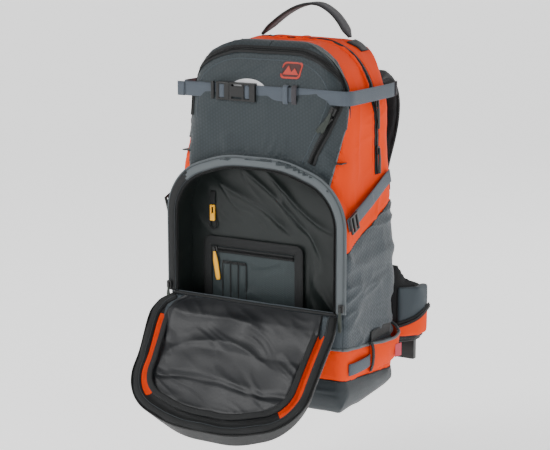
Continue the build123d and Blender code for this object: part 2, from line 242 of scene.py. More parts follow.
def smooth_line(points, step=4.0, rounds=3):
    """Corner-cut curve through a few control points."""
    p = np.asarray(points, float)
    for _ in range(rounds):
        q = np.empty((2 * len(p) - 2, p.shape[1]))
        q[0::2] = 0.75 * p[:-1] + 0.25 * p[1:]
        q[1::2] = 0.25 * p[:-1] + 0.75 * p[1:]
        p = np.vstack([p[:1], q, p[-1:]])
    return even(p, step)


def grid_faces(rows, cols, wrap=False):
    """Quads of a grid of points; wrap joins the last column to the first."""
    faces = []
    last = cols if wrap else cols - 1
    for i in range(rows - 1):
        for j in range(last):
            k = (j + 1) % cols
            faces.append((i * cols + j, i * cols + k, (i + 1) * cols + k, (i + 1) * cols + j))
    return faces


def sweep(name, path, normal, profile, mat, body="pack", replaces=(), slot=None, closed=False, scale=None):
    """A closed profile of (across, out) points carried along a path; normal points out of the flat side."""
    path = np.asarray(path, float)
    normal = np.broadcast_to(np.asarray(normal, float), path.shape)
    t = tangents(path)
    if closed:
        t = unit(np.roll(path, -1, axis=0) - np.roll(path, 1, axis=0))
    normal = unit(normal - (normal * t).sum(1, keepdims=True) * t)
    across = np.cross(t, normal)
    profile = np.asarray(profile, float)
    scale = np.ones(len(path)) if scale is None else np.asarray(scale)
    points = (path[:, None, :] + across[:, None, :] * (profile[None, :, 0, None] * scale[:, None, None])
              + normal[:, None, :] * profile[None, :, 1, None])
    along = np.r_[0, np.cumsum(np.linalg.norm(np.diff(path, axis=0), axis=1))]
    uv = np.stack([np.broadcast_to(profile[None, :, 0], points.shape[:2]),
                   np.broadcast_to(along[:, None], points.shape[:2])], axis=2).reshape(-1, 2)
    count = len(profile)
    faces = grid_faces(len(path), count, wrap=True)
    if closed:
        last = (len(path) - 1) * count
        faces += [(last + j, last + (j + 1) % count, (j + 1) % count, j) for j in range(count)]
    else:
        faces += [tuple(range(count)), tuple(range((len(path) - 1) * count, len(path) * count))]
    return mesh_object(name, points.reshape(-1, 3), faces, mat, body, replaces, slot, uv)


def flat(width, thick, lift=0.0, round_off=0.35):
    """Profile of webbing: a flat bar with eased edges, standing lift above the path."""
    a, t, r = width / 2, thick, thick * round_off
    return [(-a, lift + r), (-a + r, lift), (-a / 3, lift), (a / 3, lift), (a - r, lift), (a, lift + r),
            (a, lift + t - r), (a - r, lift + t), (a / 3, lift + t), (-a / 3, lift + t), (-a + r, lift + t),
            (-a, lift + t - r)]


def tube(radius, count=10, lift=0.0, squash=1.0):
    """Round profile of piping, standing lift above the path."""
    return [(radius * math.cos(2 * math.pi * i / count),
             lift + squash * radius * math.sin(2 * math.pi * i / count))
            for i in range(count)]


def vnoise(p, seed=0):
    """Smooth value noise from -1 to 1 at points p."""
    p = np.asarray(p, float)
    base = np.floor(p).astype(np.int64)
    f = p - base
    f = f * f * (3 - 2 * f)
    total = 0
    for dx in (0, 1):
        for dy in (0, 1):
            for dz in (0, 1):
                h = ((base[:, 0] + dx) * 374761393 + (base[:, 1] + dy) * 668265263
                     + (base[:, 2] + dz) * 2147483647 + seed * 974711) & 0xFFFFFFFF
                h = ((h ^ (h >> 13)) * 1274126177) & 0xFFFFFFFF
                value = ((h ^ (h >> 16)) & 0xFFFF) / 32767.5 - 1
                w = ((f[:, 0] if dx else 1 - f[:, 0]) * (f[:, 1] if dy else 1 - f[:, 1])
                     * (f[:, 2] if dz else 1 - f[:, 2]))
                total = total + w * value
    return total


def folds(p, along, across, wave, length, seed=0, sharp=1.5):
    """Ridged folds that run in the direction along and repeat across it, from 0 to 1."""
    u, v = (p * unit(across)).sum(1), (p * unit(along)).sum(1)
    bend = vnoise(np.stack([v / length, u / (2 * wave), u * 0], 1), seed) * 0.8
    n = vnoise(np.stack([u / wave + bend, v / length, u * 0 + seed], 1), seed + 1)
    return (1 - np.abs(n)) ** sharp


def smoothstep(a, b, x):
    t = np.clip((x - a) / (b - a), 0, 1)
    return t * t * (3 - 2 * t)


def rounded_box(name, size, centre, mat, body="pack", bevel=1.0, turn=(0, 0, 0), replaces=(), slot=None,
                holes=()):
    """Moulded block with eased edges; holes are (size, offset) blocks cut out of it. Sizes in mm."""
    def block(dims, at):
        bm = bmesh.new()
        bmesh.ops.create_cube(bm, size=1.0)
        bmesh.ops.scale(bm, vec=[d / 1000 for d in dims], verts=bm.verts)
        bmesh.ops.translate(bm, vec=[a / 1000 for a in at], verts=bm.verts)
        mesh = bpy.data.meshes.new(name)
        bm.to_mesh(mesh)
        bm.free()
        return bpy.data.objects.new(name, mesh)
    obj = block(size, (0, 0, 0))
    bpy.context.collection.objects.link(obj)
    cutters = []
    for dims, at in holes:
        cut = block(dims, at)
        bpy.context.collection.objects.link(cut)
        mod = obj.modifiers.new("hole", "BOOLEAN")
        mod.object, mod.solver = cut, "EXACT"
        cutters.append(cut)
    mod = obj.modifiers.new("ease", "BEVEL")
    mod.width, mod.segments, mod.limit_method = bevel / 1000, 3, "ANGLE"
    apply(obj)
    for cut in cutters:
        bpy.data.objects.remove(cut)
    move = Matrix.Translation(Vector(metres(centre))) @ (
        Matrix.Rotation(math.radians(turn[2]), 4, "Z") @ Matrix.Rotation(math.radians(turn[1]), 4, "Y")
        @ Matrix.Rotation(math.radians(turn[0]), 4, "X"))
    obj.data.transform(move)
    for face in obj.data.polygons:
        face.use_smooth = face.area < 0.3 * (bevel / 1000) * max(size) / 1000
    return finish(obj, body, replaces, slot, [mat])


def moulded(name, size, centre, body="pack", bevel=1.0, turn=(0, 0, 0), replaces=(), holes=()):
    """A block of black plastic."""
    return rounded_box(name, size, centre, PLASTIC, body, bevel, turn, replaces, holes=holes)


def apply(obj):
    """Bakes an object's modifiers into its mesh."""
    graph = bpy.context.evaluated_depsgraph_get()
    mesh = bpy.data.meshes.new_from_object(obj.evaluated_get(graph))
    old = obj.data
    obj.modifiers.clear()
    obj.data = mesh
    bpy.data.meshes.remove(old)


# ---- the bag's outer surface ----------------------------------------------------------------------
HALF_W, HALF_WAIST, HALF_TOP, HEIGHT, REAR, FRONT = 146.0, 134.0, 127.0, 517.0, 85.0, -95.0
# the goggle pocket's leaning face
POCKET_FRONT, POCKET_BASE, POCKET_RISE, POCKET_LEAN = -82, 352, 165, 26


def half_width(z):
    """Half of the body's width, with the waist above the compartment."""
    return np.interp(z, [205, 228, 330, 365, 517], [HALF_W, 144.4, 135.6, 133.4, HALF_TOP]) - 1.0


def plane_front(z):
    """Front of the upper bag, without the compartment block."""
    rise = np.clip((z - POCKET_BASE) / POCKET_RISE, 0, 1)
    return POCKET_FRONT + POCKET_LEAN * rise - 3 * np.sin(rise * math.pi)


def roof(x, y):
    """Height of the bag's top."""
    over_x = HEIGHT - 85 + np.sqrt(np.maximum(85.0 ** 2 - np.clip(np.abs(x) - 42, 0, 85) ** 2, 0))
    front = np.clip(-34 - y, 0, 24)
    back = np.clip(y - 55, 0, 30)
    over_y = HEIGHT - (24 - np.sqrt(24.0 ** 2 - front ** 2)) - (30 - np.sqrt(30.0 ** 2 - back ** 2))
    return np.minimum(over_x, over_y) - 1.5 + 3 * (1 - (x / 150) ** 2) * 0.5


def floor_z(x, y):
    """Height of the bag's underside, rounded all round and lifted at the rear corners."""
    side = np.clip(np.abs(x) - 116, 0, 28)
    front = np.clip(-66 - y, 0, 28)
    back = np.clip(y - 42, 0, 42)
    return np.maximum(np.maximum(28 - np.sqrt(28.0 ** 2 - side ** 2), 28 - np.sqrt(28.0 ** 2 - front ** 2)),
                      42 - np.sqrt(42.0 ** 2 - back ** 2)) + 1 + 9 * (
        np.clip((np.abs(x) - 55) / 85, 0, 1) * np.clip((y + 30) / 100, 0, 1)) ** 1.4


def arch_half(half, top, radius):
    """Half of an arch with a round shoulder and a low crown, as (x, z) from the shoulder to the middle."""
    crown, fall = 0.34 * half, 0.227 * half
    slope = math.atan2(fall, half - crown)
    turn = math.pi / 2 - slope
    foot = top - fall - radius * math.tan(turn / 2)
    points = [(half - radius + radius * math.cos(a), foot + radius * math.sin(a)) for a in np.linspace(0,
            turn, 26)]
    crown -= 160 * math.tan(slope / 2)
    points += [(crown + 160 * math.sin(a), top - 160 + 160 * math.cos(a)) for a in np.linspace(slope, 0, 12)]
    return np.array(points + [(0, top)])


def arch_distance(x, z, half, top, radius):
    """Distance inside an arch that is open at the bottom: positive inside."""
    side = np.vstack([[(half, -400)], arch_half(half, top, radius)])
    p = np.stack([np.abs(x), z], 1)
    best = np.full(len(p), 1e9)
    for a, b in zip(side[:-1], side[1:]):
        t = np.clip(((p - a) @ (b - a)) / ((b - a) @ (b - a)), 0, 1)
        best = np.minimum(best, np.linalg.norm(p - a - t[:, None] * (b - a), axis=1))
    inside = (p[:, 0] < np.interp(p[:, 1], side[:-1, 1], side[:-1, 0])) & (p[:, 1] < top)
    return np.where(inside, best, -best)


def section_terms():
    """Coefficients that place points round a rounded rectangle, from the rear centre round and back."""
    corner = [math.radians(a) for a in np.linspace(0, 90, 9)[1:-1]]
    rows = [(-f, 0, 1, 1) for f in np.linspace(0, 1, 32)]
    rows += [(-1, -math.sin(a), 1, math.cos(a)) for a in corner]
    rows += [(-1, -1, 1 - f, 0) for f in np.linspace(0, 1, 60)]
    rows += [(-1, -math.cos(a), 0, -math.sin(a)) for a in corner]
    rows += [(-f, 0, 0, -1) for f in np.linspace(1, 0, 48)]
    left = np.array(rows)
    right = left[1:-1][::-1].copy()
    right[:, :2] *= -1
    return np.vstack([left, right])


def bag_surface():
    """Points and faces of the whole closed skin: underside, wall in level rings, top."""
    a, b, g, c = section_terms().T
    count = len(a)

    def section(z):
        hw, yf = half_width(z), plane_front(z)
        fore = 16 + 20 * smoothstep(290, 385, z)
        corner = np.where(g > 0.5, 42.0, fore)
        x = a * (hw - corner) + b * corner
        y = (1 - g) * (yf + fore) + g * (REAR - 43) + c * corner
        inside = smoothstep(-3.0, 3.0, arch_distance(x * HALF_W / hw, z, HALF_W + 3, 357, 83))
        front = np.clip((-60 - y) / 8, 0, 1)
        x = x + inside * front * (x / hw) ** 4 * np.sign(x) * np.maximum(HALF_W - 1 - hw, 0) * (z < 330)
        y = y - 13 * inside * np.clip(1 - 5 * g, 0, 1)
        return x, y

    x, y = section(np.full(count, 440.0))
    x_low, y_low = section(np.full(count, 30.0))
    top, bottom = roof(x * 0.995, y), floor_z(x_low, y_low)
    rows = []
    for k in np.linspace(0.04, 0.97, 26):
        px, py = x_low * k, y_low * k
        rows.append(np.stack([px, py, floor_z(px, py)], 1))
    for t in np.linspace(0, 1, 170):
        z = bottom + t * (top - bottom)
        px, py = section(z)
        ease = np.clip((z - top + 26) / 26, 0, 1) ** 2 * 3.0
        centre = np.array([0.0, 10.0])
        px, py = px - np.sign(px) * np.minimum(ease, np.abs(px)), py - np.sign(py - centre[1]) * ease
        rows.append(np.stack([px, py, z], 1))
    edge = rows[-1]
    for k in np.linspace(0.97, 0.04, 30):
        px, py = edge[:, 0] * k, 10 + (edge[:, 1] - 10) * k
        rows.append(np.stack([px, py, roof(px, py)], 1))
    points = np.vstack(rows)
    faces = grid_faces(len(rows), count, wrap=True)
    faces += [tuple(range(count)), tuple(range((len(rows) - 1) * count, len(rows) * count))]
    return points, faces


def seam(z_front, z_rear):
    slope = (z_rear - z_front) / (REAR - FRONT)
    return np.array([0, FRONT, z_front]), unit([0, -slope, 1])


BOOT_SEAM, BAND_SEAM = seam(53, 36), seam(99, 79)
DIAGONAL = (np.array([0, -100, 229]), unit([0, -55 / 155, 1]))
POCKET = (np.array([0, -58, 402]), unit([0, 48, -10]))
SHOULDER = [(np.array([sign * 112, -82, 320]), unit([sign * 70, 41, -22])) for sign in (-1, 1)]


def side_of(p, plane):
    return (p - plane[0]) @ plane[1]


def panel_of(c):
    """Name of the sewn panel at centre points c."""
    out = np.full(len(c), "upper_shell", dtype=object)
    shoulder = np.maximum(side_of(c, SHOULDER[0]), side_of(c, SHOULDER[1]))
    pocket = (np.where(c[:, 2] < 402, shoulder, side_of(c, POCKET)) < 0) & (c[:, 2] > 270) & (c[:, 1] < -20)
    low = (side_of(c, DIAGONAL) < 0) & (c[:, 2] < 284)
    back = (c[:, 1] > 82.5) & (c[:, 2] < HEIGHT - 22)
    band = side_of(c, BAND_SEAM) < 0
    boot = side_of(c, BOOT_SEAM) < 0
    front = (c[:, 1] < -90) & (c[:, 2] < 152) & ~band
    out[low] = "side_panels"
    out[pocket] = "goggle_pocket"
    out[front] = "front_panel"
    out[back] = "back_panel"
    out[band] = "lower_band"
    out[boot] = "base_boot"
    hole = (c[:, 1] < -70) & (c[:, 2] > 118) & (arch_distance(c[:, 0], c[:, 2], 138, 352, 72) > 0)
    hole &= ~((c[:, 1] < -90) & (c[:, 2] < 151))
    out[hole] = "hole"
    return out


def relief(p, panel):
    """How far each point of the bag stands out of its plain shape, in mm."""
    x, y, z = p.T
    d = np.zeros(len(p))
    for plane in (BOOT_SEAM, BAND_SEAM):
        d -= 1.6 * np.exp(-(side_of(p, plane) / 4.0) ** 2)
    d += 1.0 * vnoise(p / 60.0, 3) + 0.5 * vnoise(p / 22.0, 4)
    side = smoothstep(118, 132, np.abs(x))
    front = smoothstep(-50, -62, y)
    on = {name: (panel == name) for name in set(panel)}

    def put(name, value):
        if name in on:
            d[on[name]] += value[on[name]]

    diagonal = np.exp(-(side_of(p, DIAGONAL) / 5.0) ** 2) * (z < 300) * (y < 80) * (np.abs(x) > 120)
    d -= 1.4 * diagonal
    put("side_panels", 4.2 * side * folds(p, (0, 1, 0.12), (0, -0.12, 1), 17, 70, 11, 2.2)
        + 1.2 * side * folds(p, (0, 1, -0.2), (0, 0.2, 1), 8, 34, 17, 1.6) - 1.6)
    put("upper_shell", 2.6 * side * folds(p, (0, 0.25, 1), (0, 1, -0.25), 26, 130, 23, 2.0)
        + 1.0 * folds(p, (0, 1, 0.4), (0, -0.4, 1), 18, 60, 29, 2.0) - 1.2)
    put("goggle_pocket", 3.0 * front * np.sin(np.clip((z - 352) / 160, 0, 1) * math.pi)
        + 3.4 * front * smoothstep(405, 360, z) * folds(p, (0.15, 0, 1), (1, 0, -0.15), 14, 55, 31, 1.6)
        + 1.5 * front * folds(p, (1, 0, 0.3), (-0.3, 0, 1), 24, 80, 37, 2.4) - 1.5)
    put("lower_band", 1.8 * folds(p, (0, 0.3, 1), (1, 1, 0), 15, 30, 41, 2.0) - 0.8)
    put("base_boot", 2.4 * folds(p, (1, 1, 0.3), (0, 0, 1), 15, 60, 43, 1.8) - 1.2)
    put("front_panel", 1.5 * folds(p, (1, 0, 0), (0, 0, 1), 14, 60, 47, 2.0) - 0.6)
    return d


def cut_planes(bm, planes):
    for origin, normal in planes:
        bmesh.ops.bisect_plane(bm, geom=bm.verts[:] + bm.edges[:] + bm.faces[:], dist=1e-4,
                               plane_co=origin.tolist(), plane_no=normal.tolist())


PANEL_LOOK = {"upper_shell": ORANGE, "side_panels": GREY, "goggle_pocket": POCKET_GREY, "lower_band": ORANGE,
              "base_boot": BOOT, "front_panel": SMOOTH_GREY, "back_panel": BLACK_CLOTH}


def build_bag():
    """The bag's skin: one surface, displaced, then cut into its sewn panels; gives back the seams for the
    piping.
    """
    points, faces = bag_surface()
    mesh = bpy.data.meshes.new("bag")
    mesh.from_pydata(points.tolist(), [], faces)
    bm = bmesh.new()
    bm.from_mesh(mesh)
    bmesh.ops.recalc_face_normals(bm, faces=bm.faces)
    flat_planes = [(np.array([0, 0, 152.0]), np.array([0, 0, 1.0])),
                   (np.array([0, 55, 284.0]), np.array([0, 0, 1.0])),
                   (np.array([0, 0, HEIGHT - 22]), np.array([0, 0, 1.0])),
                   (np.array([0, 82.5, 0]), np.array([0, 1.0, 0]))]
    flat_planes.append((np.array([0, 0, 402.0]), np.array([0, 0, 1.0])))
    cut_planes(bm, [BOOT_SEAM, BAND_SEAM, DIAGONAL, POCKET] + SHOULDER + flat_planes)
    bm.verts.ensure_lookup_table()
    bm.normal_update()
    co = np.array([v.co for v in bm.verts])
    normals = np.array([v.normal for v in bm.verts])
    centres = np.array([f.calc_center_median() for f in bm.faces])
    panel = panel_of(centres)
    by_vertex = np.empty(len(co), dtype=object)
    for face, name in zip(bm.faces, panel):
        for v in face.verts:
            by_vertex[v.index] = name
    co = co + normals * relief(co, by_vertex)[:, None]
    bm.faces.ensure_lookup_table()
    seams = {}
    for edge in bm.edges:
        names = sorted({panel[f.index] for f in edge.link_faces})
        if len(names) == 2 and "hole" not in names:
            seams.setdefault(tuple(names), []).append([v.index for v in edge.verts])
    face_index = [[v.index for v in f.verts] for f in bm.faces]
    bm.free()
    tree = BVHTree.FromPolygons([Vector(p) for p in co],
                                [f for f, n in zip(face_index, panel) if n != "hole"])
    for name, mat in PANEL_LOOK.items():
        keep = [f for f, n in zip(face_index, panel) if n == name]
        used = sorted({i for f in keep for i in f})
        renumber = {old: new for new, old in enumerate(used)}
        obj = mesh_object("bag_" + name, co[used], [[renumber[i] for i in f] for f in keep], mat, "pack",
                          [name])
        thicken(obj)
    return tree, co, seams


def chains(pairs):
    """Vertex index chains from loose edges."""
    links = {}
    for a, b in pairs:
        links.setdefault(a, []).append(b)
        links.setdefault(b, []).append(a)
    found, seen = [], set()
    starts = [v for v in links if len(links[v]) == 1] + list(links)
    for start in starts:
        if start in seen:
            continue
        line, here = [start], start
        seen.add(start)
        while True:
            ahead = [v for v in links[here] if v not in seen]
            if not ahead:
                break
            here = ahead[0]
            seen.add(here)
            line.append(here)
        if len(line) > 16:
            found.append(line)
    return found


bag_tree, bag_points, bag_seams = build_bag()


def surface_normal(points):
    """Outward direction of the bag's skin next to each point."""
    out = []
    for p in points:
        _, normal, _, _ = bag_tree.find_nearest(Vector(p))
        out.append(tuple(normal))
    return unit(np.array(out))


def drape(points, direction, lift=0.0):
    """Points thrown onto the bag along a direction, then lifted off it along the surface."""
    out, normals = [], []
    d = Vector(direction).normalized()
    for p in points:
        start = Vector(p) - d * 200
        hit, normal, _, _ = bag_tree.ray_cast(start, d)
        if hit is None:
            hit, normal, _, _ = bag_tree.find_nearest(Vector(p))
        if normal.dot(d) > 0:
            normal = -normal
        out.append(tuple(hit + normal * lift))
        normals.append(tuple(normal))
    normals = np.array(normals)
    if len(normals) > 4:
        padded = np.vstack([normals[:1], normals[:1], normals, normals[-1:], normals[-1:]])
        normals = unit(sum(padded[i:i + len(normals)] for i in range(5)))
    return np.array(out), normals


PIPED = {("base_boot", "lower_band"): (BINDING, 1.5), ("lower_band", "side_panels"): (GREY_BINDING, 2.6),
         ("front_panel", "lower_band"): (GREY_BINDING, 2.0),
         ("goggle_pocket", "upper_shell"): (GREY_BINDING, 1.5),
         ("side_panels", "upper_shell"): (BINDING, 0.9), ("back_panel", "side_panels"): (BINDING, 2.0),
         ("back_panel", "upper_shell"): (BINDING, 2.0)}
for names, pairs in bag_seams.items():
    mat, radius = PIPED.get(names, (None, 0))
    if mat is None:
        continue
    for i, line in enumerate(chains(pairs)):
        path = even(bag_points[line], 4.0)
        if "goggle_pocket" in names:
            away = [np.abs(side_of(path, plane)) for plane in [POCKET] + SHOULDER]
            path = path[np.minimum.reduce(away) < 4.5]
        if len(path) > 4:
            sweep(f"piping_{names[0]}_{names[1]}_{i}", path, surface_normal(path), tube(radius, 8), mat,
                  slot="webbing")



# ---- front opening: padded arch, zip, gusset, lining ----------------------------------------------
def arch_line(half, floor, top, radius, y, step=4.0):
    """Arch from the left foot over the top to the right foot."""
    side = arch_half(half, top, radius)
    line = [(-half, floor)] + [(-x, z) for x, z in side] + [(x, z) for x, z in side[-2::-1]] + [(half, floor)]
    return even([(x, y, z) for x, z in line], step)


FACING = (0, -1, 0)
path = arch_line(139, 151, 350.5, 73, -95)
path[:, 1] += 0.5 * vnoise(path / 30.0, 5)
rim = [(-7.6, -4), (-7.2, -1), (-5, 0.8), (-1.5, 1.8), (2, 1.9), (5, 1.0), (7.0, -0.8), (7.6, -4)]
arch = sweep("arch_surround", path, FACING, rim, GREY_BINDING, "pack", ["arch_surround"], "grey_fabric")
arch.data.materials.append(BINDING)
for face in arch.data.polygons:
    at = np.array(face.center) * 1000 + HOOK
    if at[0] < -112 and at[2] < 330 + 0.5 * (at[0] + 126):
        face.material_index = 1
sweep("arch_outer_piping", arch_line(146.3, 151, 357.8, 80.3, -93.5), FACING, tube(1.5), GREY_BINDING)
sweep("arch_inner_tape", arch_line(131.4, 151, 343, 65.4, -93.6), FACING, flat(6, 1.2), BINDING, "pack",
      ["front_zip_track"], "zip")
sweep("arch_zip_coil", arch_line(129.6, 151, 341.2, 63.6, -95), FACING, tube(1.1, 8, 0.3), TEETH)
for name, offset in (("inner", -5.6), ("outer", 5.4)):
    sweep(f"arch_stitch_{name}", arch_line(139 + offset, 153, 350.5 + offset, 73 + offset, -96.3), FACING,
          tube(0.35, 6), THREAD)

# gusset wall of the compartment
rows = []
for y in np.linspace(-92, -53, 12):
    line = arch_line(133.0, 111, 349, 67, y, 5.0)
    line = np.vstack([line, even([(132, y, 111), (-132, y, 111)], 5.0)[1:-1]])
    rows.append(line)
gusset = np.vstack(rows)
centre = np.array([0, 0, 220.0])
outward = unit((gusset - centre) * [1, 0, 1])
gusset = gusset + outward * ((1.4 * folds(gusset, (0, 1, 0), (1, 0, 1), 30, 60, 51, 2.0) - 1.4)[:, None])
mesh_object("compartment_gusset", gusset, grid_faces(12, len(rows[0]), wrap=True), LINING, "pack",
            ["compartment_gusset"])

# lining at the back of the compartment, a loose cloth with long slanting folds
def lining_relief(p):
    x, z = p[:, 0], p[:, 2]
    loose = smoothstep(2, 34, arch_distance(x, z, 133, 349, 67)) * smoothstep(112, 132, z)
    behind = smoothstep(235, 262, z) + smoothstep(62, 80, x) * (z <= 262)
    open_part = np.clip(behind, 0.12, 1)
    long_folds = folds(p, (0.75, 0, -0.66), (0.66, 0, 0.75), 34, 150, 61, 2.2)
    fine = folds(p, (0.55, 0, -0.8), (0.8, 0, 0.55), 15, 70, 67, 1.8)
    belly = np.exp(-((x - 58) / 38) ** 2 - ((z - 292) / 30) ** 2)
    return -loose * open_part * (5.2 * long_folds + 1.8 * fine + 5.0 * belly)


xs, zs = np.linspace(-133, 133, 134), 111 + 238 * (1 - (1 - np.linspace(0, 1, 121)) ** 1.3)
gx, gz = np.meshgrid(xs, zs)
side = arch_half(133, 349, 67)[:-1]
half = np.interp(gz, side[:, 1], side[:, 0])
gx = gx / 133 * half
lining = np.stack([gx.ravel(), np.full(gx.size, -52.6), gz.ravel()], 1)
lining[:, 1] += lining_relief(lining)
mesh_object("compartment_lining", lining, grid_faces(121, 134), LINING, "pack", ["compartment_lining"])

# organiser on the lining
body = "pack"
px, pz = np.meshgrid(np.linspace(-99, 48, 74), np.linspace(114, 218, 53))
panel = np.stack([px.ravel(), np.full(px.size, -55.9), pz.ravel()], 1)
edge = np.minimum(np.minimum(panel[:, 0] + 99, 48 - panel[:, 0]), 218 - panel[:, 2])
panel[:, 1] -= smoothstep(0, 20, edge) * (1.0 + 1.6 * folds(panel, (1, 0, 0.3), (-0.3, 0, 1), 14, 60, 71, 2.0)
                                          + 0.8 * folds(panel, (0, 0, 1), (1, 0, 0), 12, 60, 73, 2.0))
mesh_object("organizer_pocket", panel, grid_faces(53, 74), POCKET_MESH, body, ["organizer_pocket"])
frame_path = smooth_line([(-102, -56.2, 114), (-102, -56.2, 216), (-102, -56.2, 223), (-96, -56.2, 223),
                          (46, -56.2, 223), (52, -56.2, 223), (52, -56.2, 216), (52, -56.2, 114)], 3.0)
frame_path[:, 1] -= 0.8 * np.abs(vnoise(frame_path / 26.0, 6))
sweep("organizer_binding", frame_path, FACING, flat(14, 1.8), BINDING, body, ["organizer_binding"])
sweep("organizer_zip_tape", even([(-94, -57.9, 211), (44, -57.9, 211)], 4), FACING, flat(8, 0.8), BINDING,
      body,
      slot="zip")
sweep("organizer_zip_coil", even([(-94, -58.7, 211), (44, -58.7, 211)], 3), FACING, tube(1.3, 8, 0.2, 0.7),
      TEETH,
      body)
for i, x in enumerate((-69, -55.5, -42)):
    rows = []
    for z in np.linspace(118, 194, 30):
        for f in np.linspace(-1, 1, 13):
            rows.append((x + 6.3 * f,
                         -57.6 - 2.6 * (1 - f * f) ** 0.5 * (0.75 + 0.25 * math.sin(z / 9 + i)), z))
    name = "pen_slots" if i == 0 else f"pen_slots_{i}"
    mesh_object(name, rows, grid_faces(30, 13), POCKET_MESH, body, ["pen_slots"] if i == 0 else [])
    sweep(f"pen_slot_hem_{i}", even([(x - 6.5, -58.6, 194), (x, -61, 194), (x + 6.5, -58.6, 194)], 2), FACING,
          flat(4, 1), BINDING, body)
    for e in (-6.8, 6.8):
        if i == 0 or e > 0:
            sweep(f"pen_slot_seam_{i}_{int(e > 0)}", even([(x + e, -58.4, 117), (x + e, -58.4, 193)], 4),
                  FACING,
                  flat(1.6, 0.7), BINDING, body)

# key clip on its tab
sweep("key_clip_tab", smooth_line([(-94, -54, 296), (-94, -56.5, 286), (-94, -56.6, 277)], 2), FACING,
      flat(9, 1.2),
      BINDING, body, slot="webbing")
rounded_box("key_clip", (8, 3.6, 24), (-94, -56.6, 264), YELLOW, "key_clip", 1.4, replaces=["key_clip"],
            holes=[((3.6, 8, 9), (0, 0, 4))])
ring = [(-94 + 6 * math.cos(a), -56.4, 247 + 7 * math.sin(a)) for a in np.linspace(0, 2 * math.pi, 25)[:-1]]
sweep("key_clip_ring", ring, FACING, tube(1.1), BINDING, "key_clip", slot="black_plastic", closed=True)


# ---- zip sliders ----------------------------------------------------------------------------------
def slider(name, at, down, out, body, replaces, pull, mat, pull_width=6.5, plate=(9, 11, 3.4)):
    """A moulded zip slider with its bail and a pull that lies along the direction down."""
    down, out = unit(down), unit(out)
    across = np.cross(down, out)
    turn = Matrix(np.array([across, out, -down]).T.tolist()).to_euler()
    angles = [math.degrees(a) for a in turn]
    at = np.asarray(at, float)
    moulded(name, (plate[0], plate[2], plate[1]), at, body, 1.0, angles, replaces)
    moulded(name + "_bail", (3.2, 2.6, 7), at + out * (plate[2] / 2 + 0.8), body, 0.8, angles)
    start = at + out * (plate[2] / 2 + 1.0) + down * 3
    path = smooth_line([start, start + down * pull * 0.3 + out * 0.4, start + down * pull * 0.7,
                        start + down * pull],
                       1.5)
    width = pull_width / 2
    s = np.linspace(0, 1, len(path))
    scale = 0.55 + 0.45 * smoothstep(0.0, 0.35, s) - 0.25 * smoothstep(0.9, 1.0, s)
    sweep(name + "_pull", path, out, [(-width, 0), (-width * 0.7, -1), (width * 0.7, -1), (width, 0),
                                      (width * 0.7, 1.1), (-width * 0.7, 1.1)], mat, body, scale=scale)


slider("organizer_slider", (-88.5, -59.4, 211), (0.16, 0, -1), FACING, "organizer_zip_slider",
       ["organizer_slider"],
       42, YELLOW, 8.5, (9, 9, 2.6))
for side, sign in (("left", 1), ("right", -1)):
    slider(f"front_slider_{side}", (sign * 142.5, -98.9, 160), (0, 0, -1), FACING, f"front_zip_slider_{side}",
           [f"front_slider_{side}"], 30, OLIVE, 6.0, (8, 11, 3.4))


# ---- goggle pocket zip, patches and main zip -------------------------------------------------------
def ellipse_arc(cx, cy, rx, ry, start, end, count):
    return [(cx + rx * math.cos(math.radians(a)), cy + ry * math.sin(math.radians(a)))
            for a in np.linspace(start, end, count)]


LEAN = math.atan2(POCKET_LEAN, POCKET_RISE)


def pocket_point(x, v):
    """Point of the plain pocket face at x and at v up its slope."""
    return (x, POCKET_FRONT + v * math.sin(LEAN), POCKET_BASE + v * math.cos(LEAN))


def on_pocket(pairs, lift=0.0, step=3.0):
    """Points on the goggle pocket front, from (x, distance up the leaning face)."""
    pts = even([pocket_point(x, v) for x, v in pairs], step)
    return drape(pts, (0, 1, -0.1), lift)


zip_pairs = ([(-118, 56), (-119, 90)] + ellipse_arc(-40, 96, 79, 58, 174, 92, 12)
             + ellipse_arc(42, 96, 78, 58, 88, 3, 12) + [(118, 80), (108, 50), (96, 26), (86, 2)])
path, normal = on_pocket(zip_pairs, 1.5)
sweep("goggle_zip", path, normal, flat(12, 1.0), BINDING, "pack", ["goggle_zip"], "zip")
sweep("goggle_zip_coil", path + normal * 1.0, normal, tube(2.0, 8, 0, 0.7), TEETH)
inner = ([(-106, 54), (-107, 90)] + ellipse_arc(-36, 92, 71, 49, 174, 92, 12)
         + ellipse_arc(36, 92, 69, 49, 88, 5, 12) + [(103, 78), (94, 50), (82, 26), (72, 2)])
path, normal = on_pocket(inner, 1.1)
sweep("goggle_pocket_piping", path, normal, tube(1.0, 8, 0, 0.7), SMOOTH_GREY)
leg = unit(np.array([-32.0, -72.0 * math.sin(LEAN), -72.0 * math.cos(LEAN)]))
facing = np.array([0, -math.cos(LEAN), math.sin(LEAN)])
at = np.array(pocket_point(114.5, 76)) + facing * 5.5
slider("goggle_slider", at, leg, facing, "goggle_zip_slider", ["goggle_slider"], 30, OLIVE, 7)
slider("goggle_slider_b", at + leg * 13 + facing * 0.2, leg + np.array([-0.25, 0, 0.1]), facing,
       "goggle_zip_slider",
       [], 20, OLIVE, 7)


def decal(name, pairs, lift, thick, mat, replaces=()):
    """A thin flat shape sewn on the goggle pocket front."""
    pts = [pocket_point(x, v) for x, v in pairs]
    base, normal = drape(pts, (0, 1, -0.1), lift)
    mean = unit(normal.mean(0))
    top = base + mean * thick
    count = len(pts)
    faces = [tuple(range(count)), tuple(range(count, 2 * count))]
    faces += [(i, (i + 1) % count, count + (i + 1) % count, count + i) for i in range(count)]
    return mesh_object(name, np.vstack([base - mean * 1.5, top]), faces, mat, "pack", replaces, smooth=False)


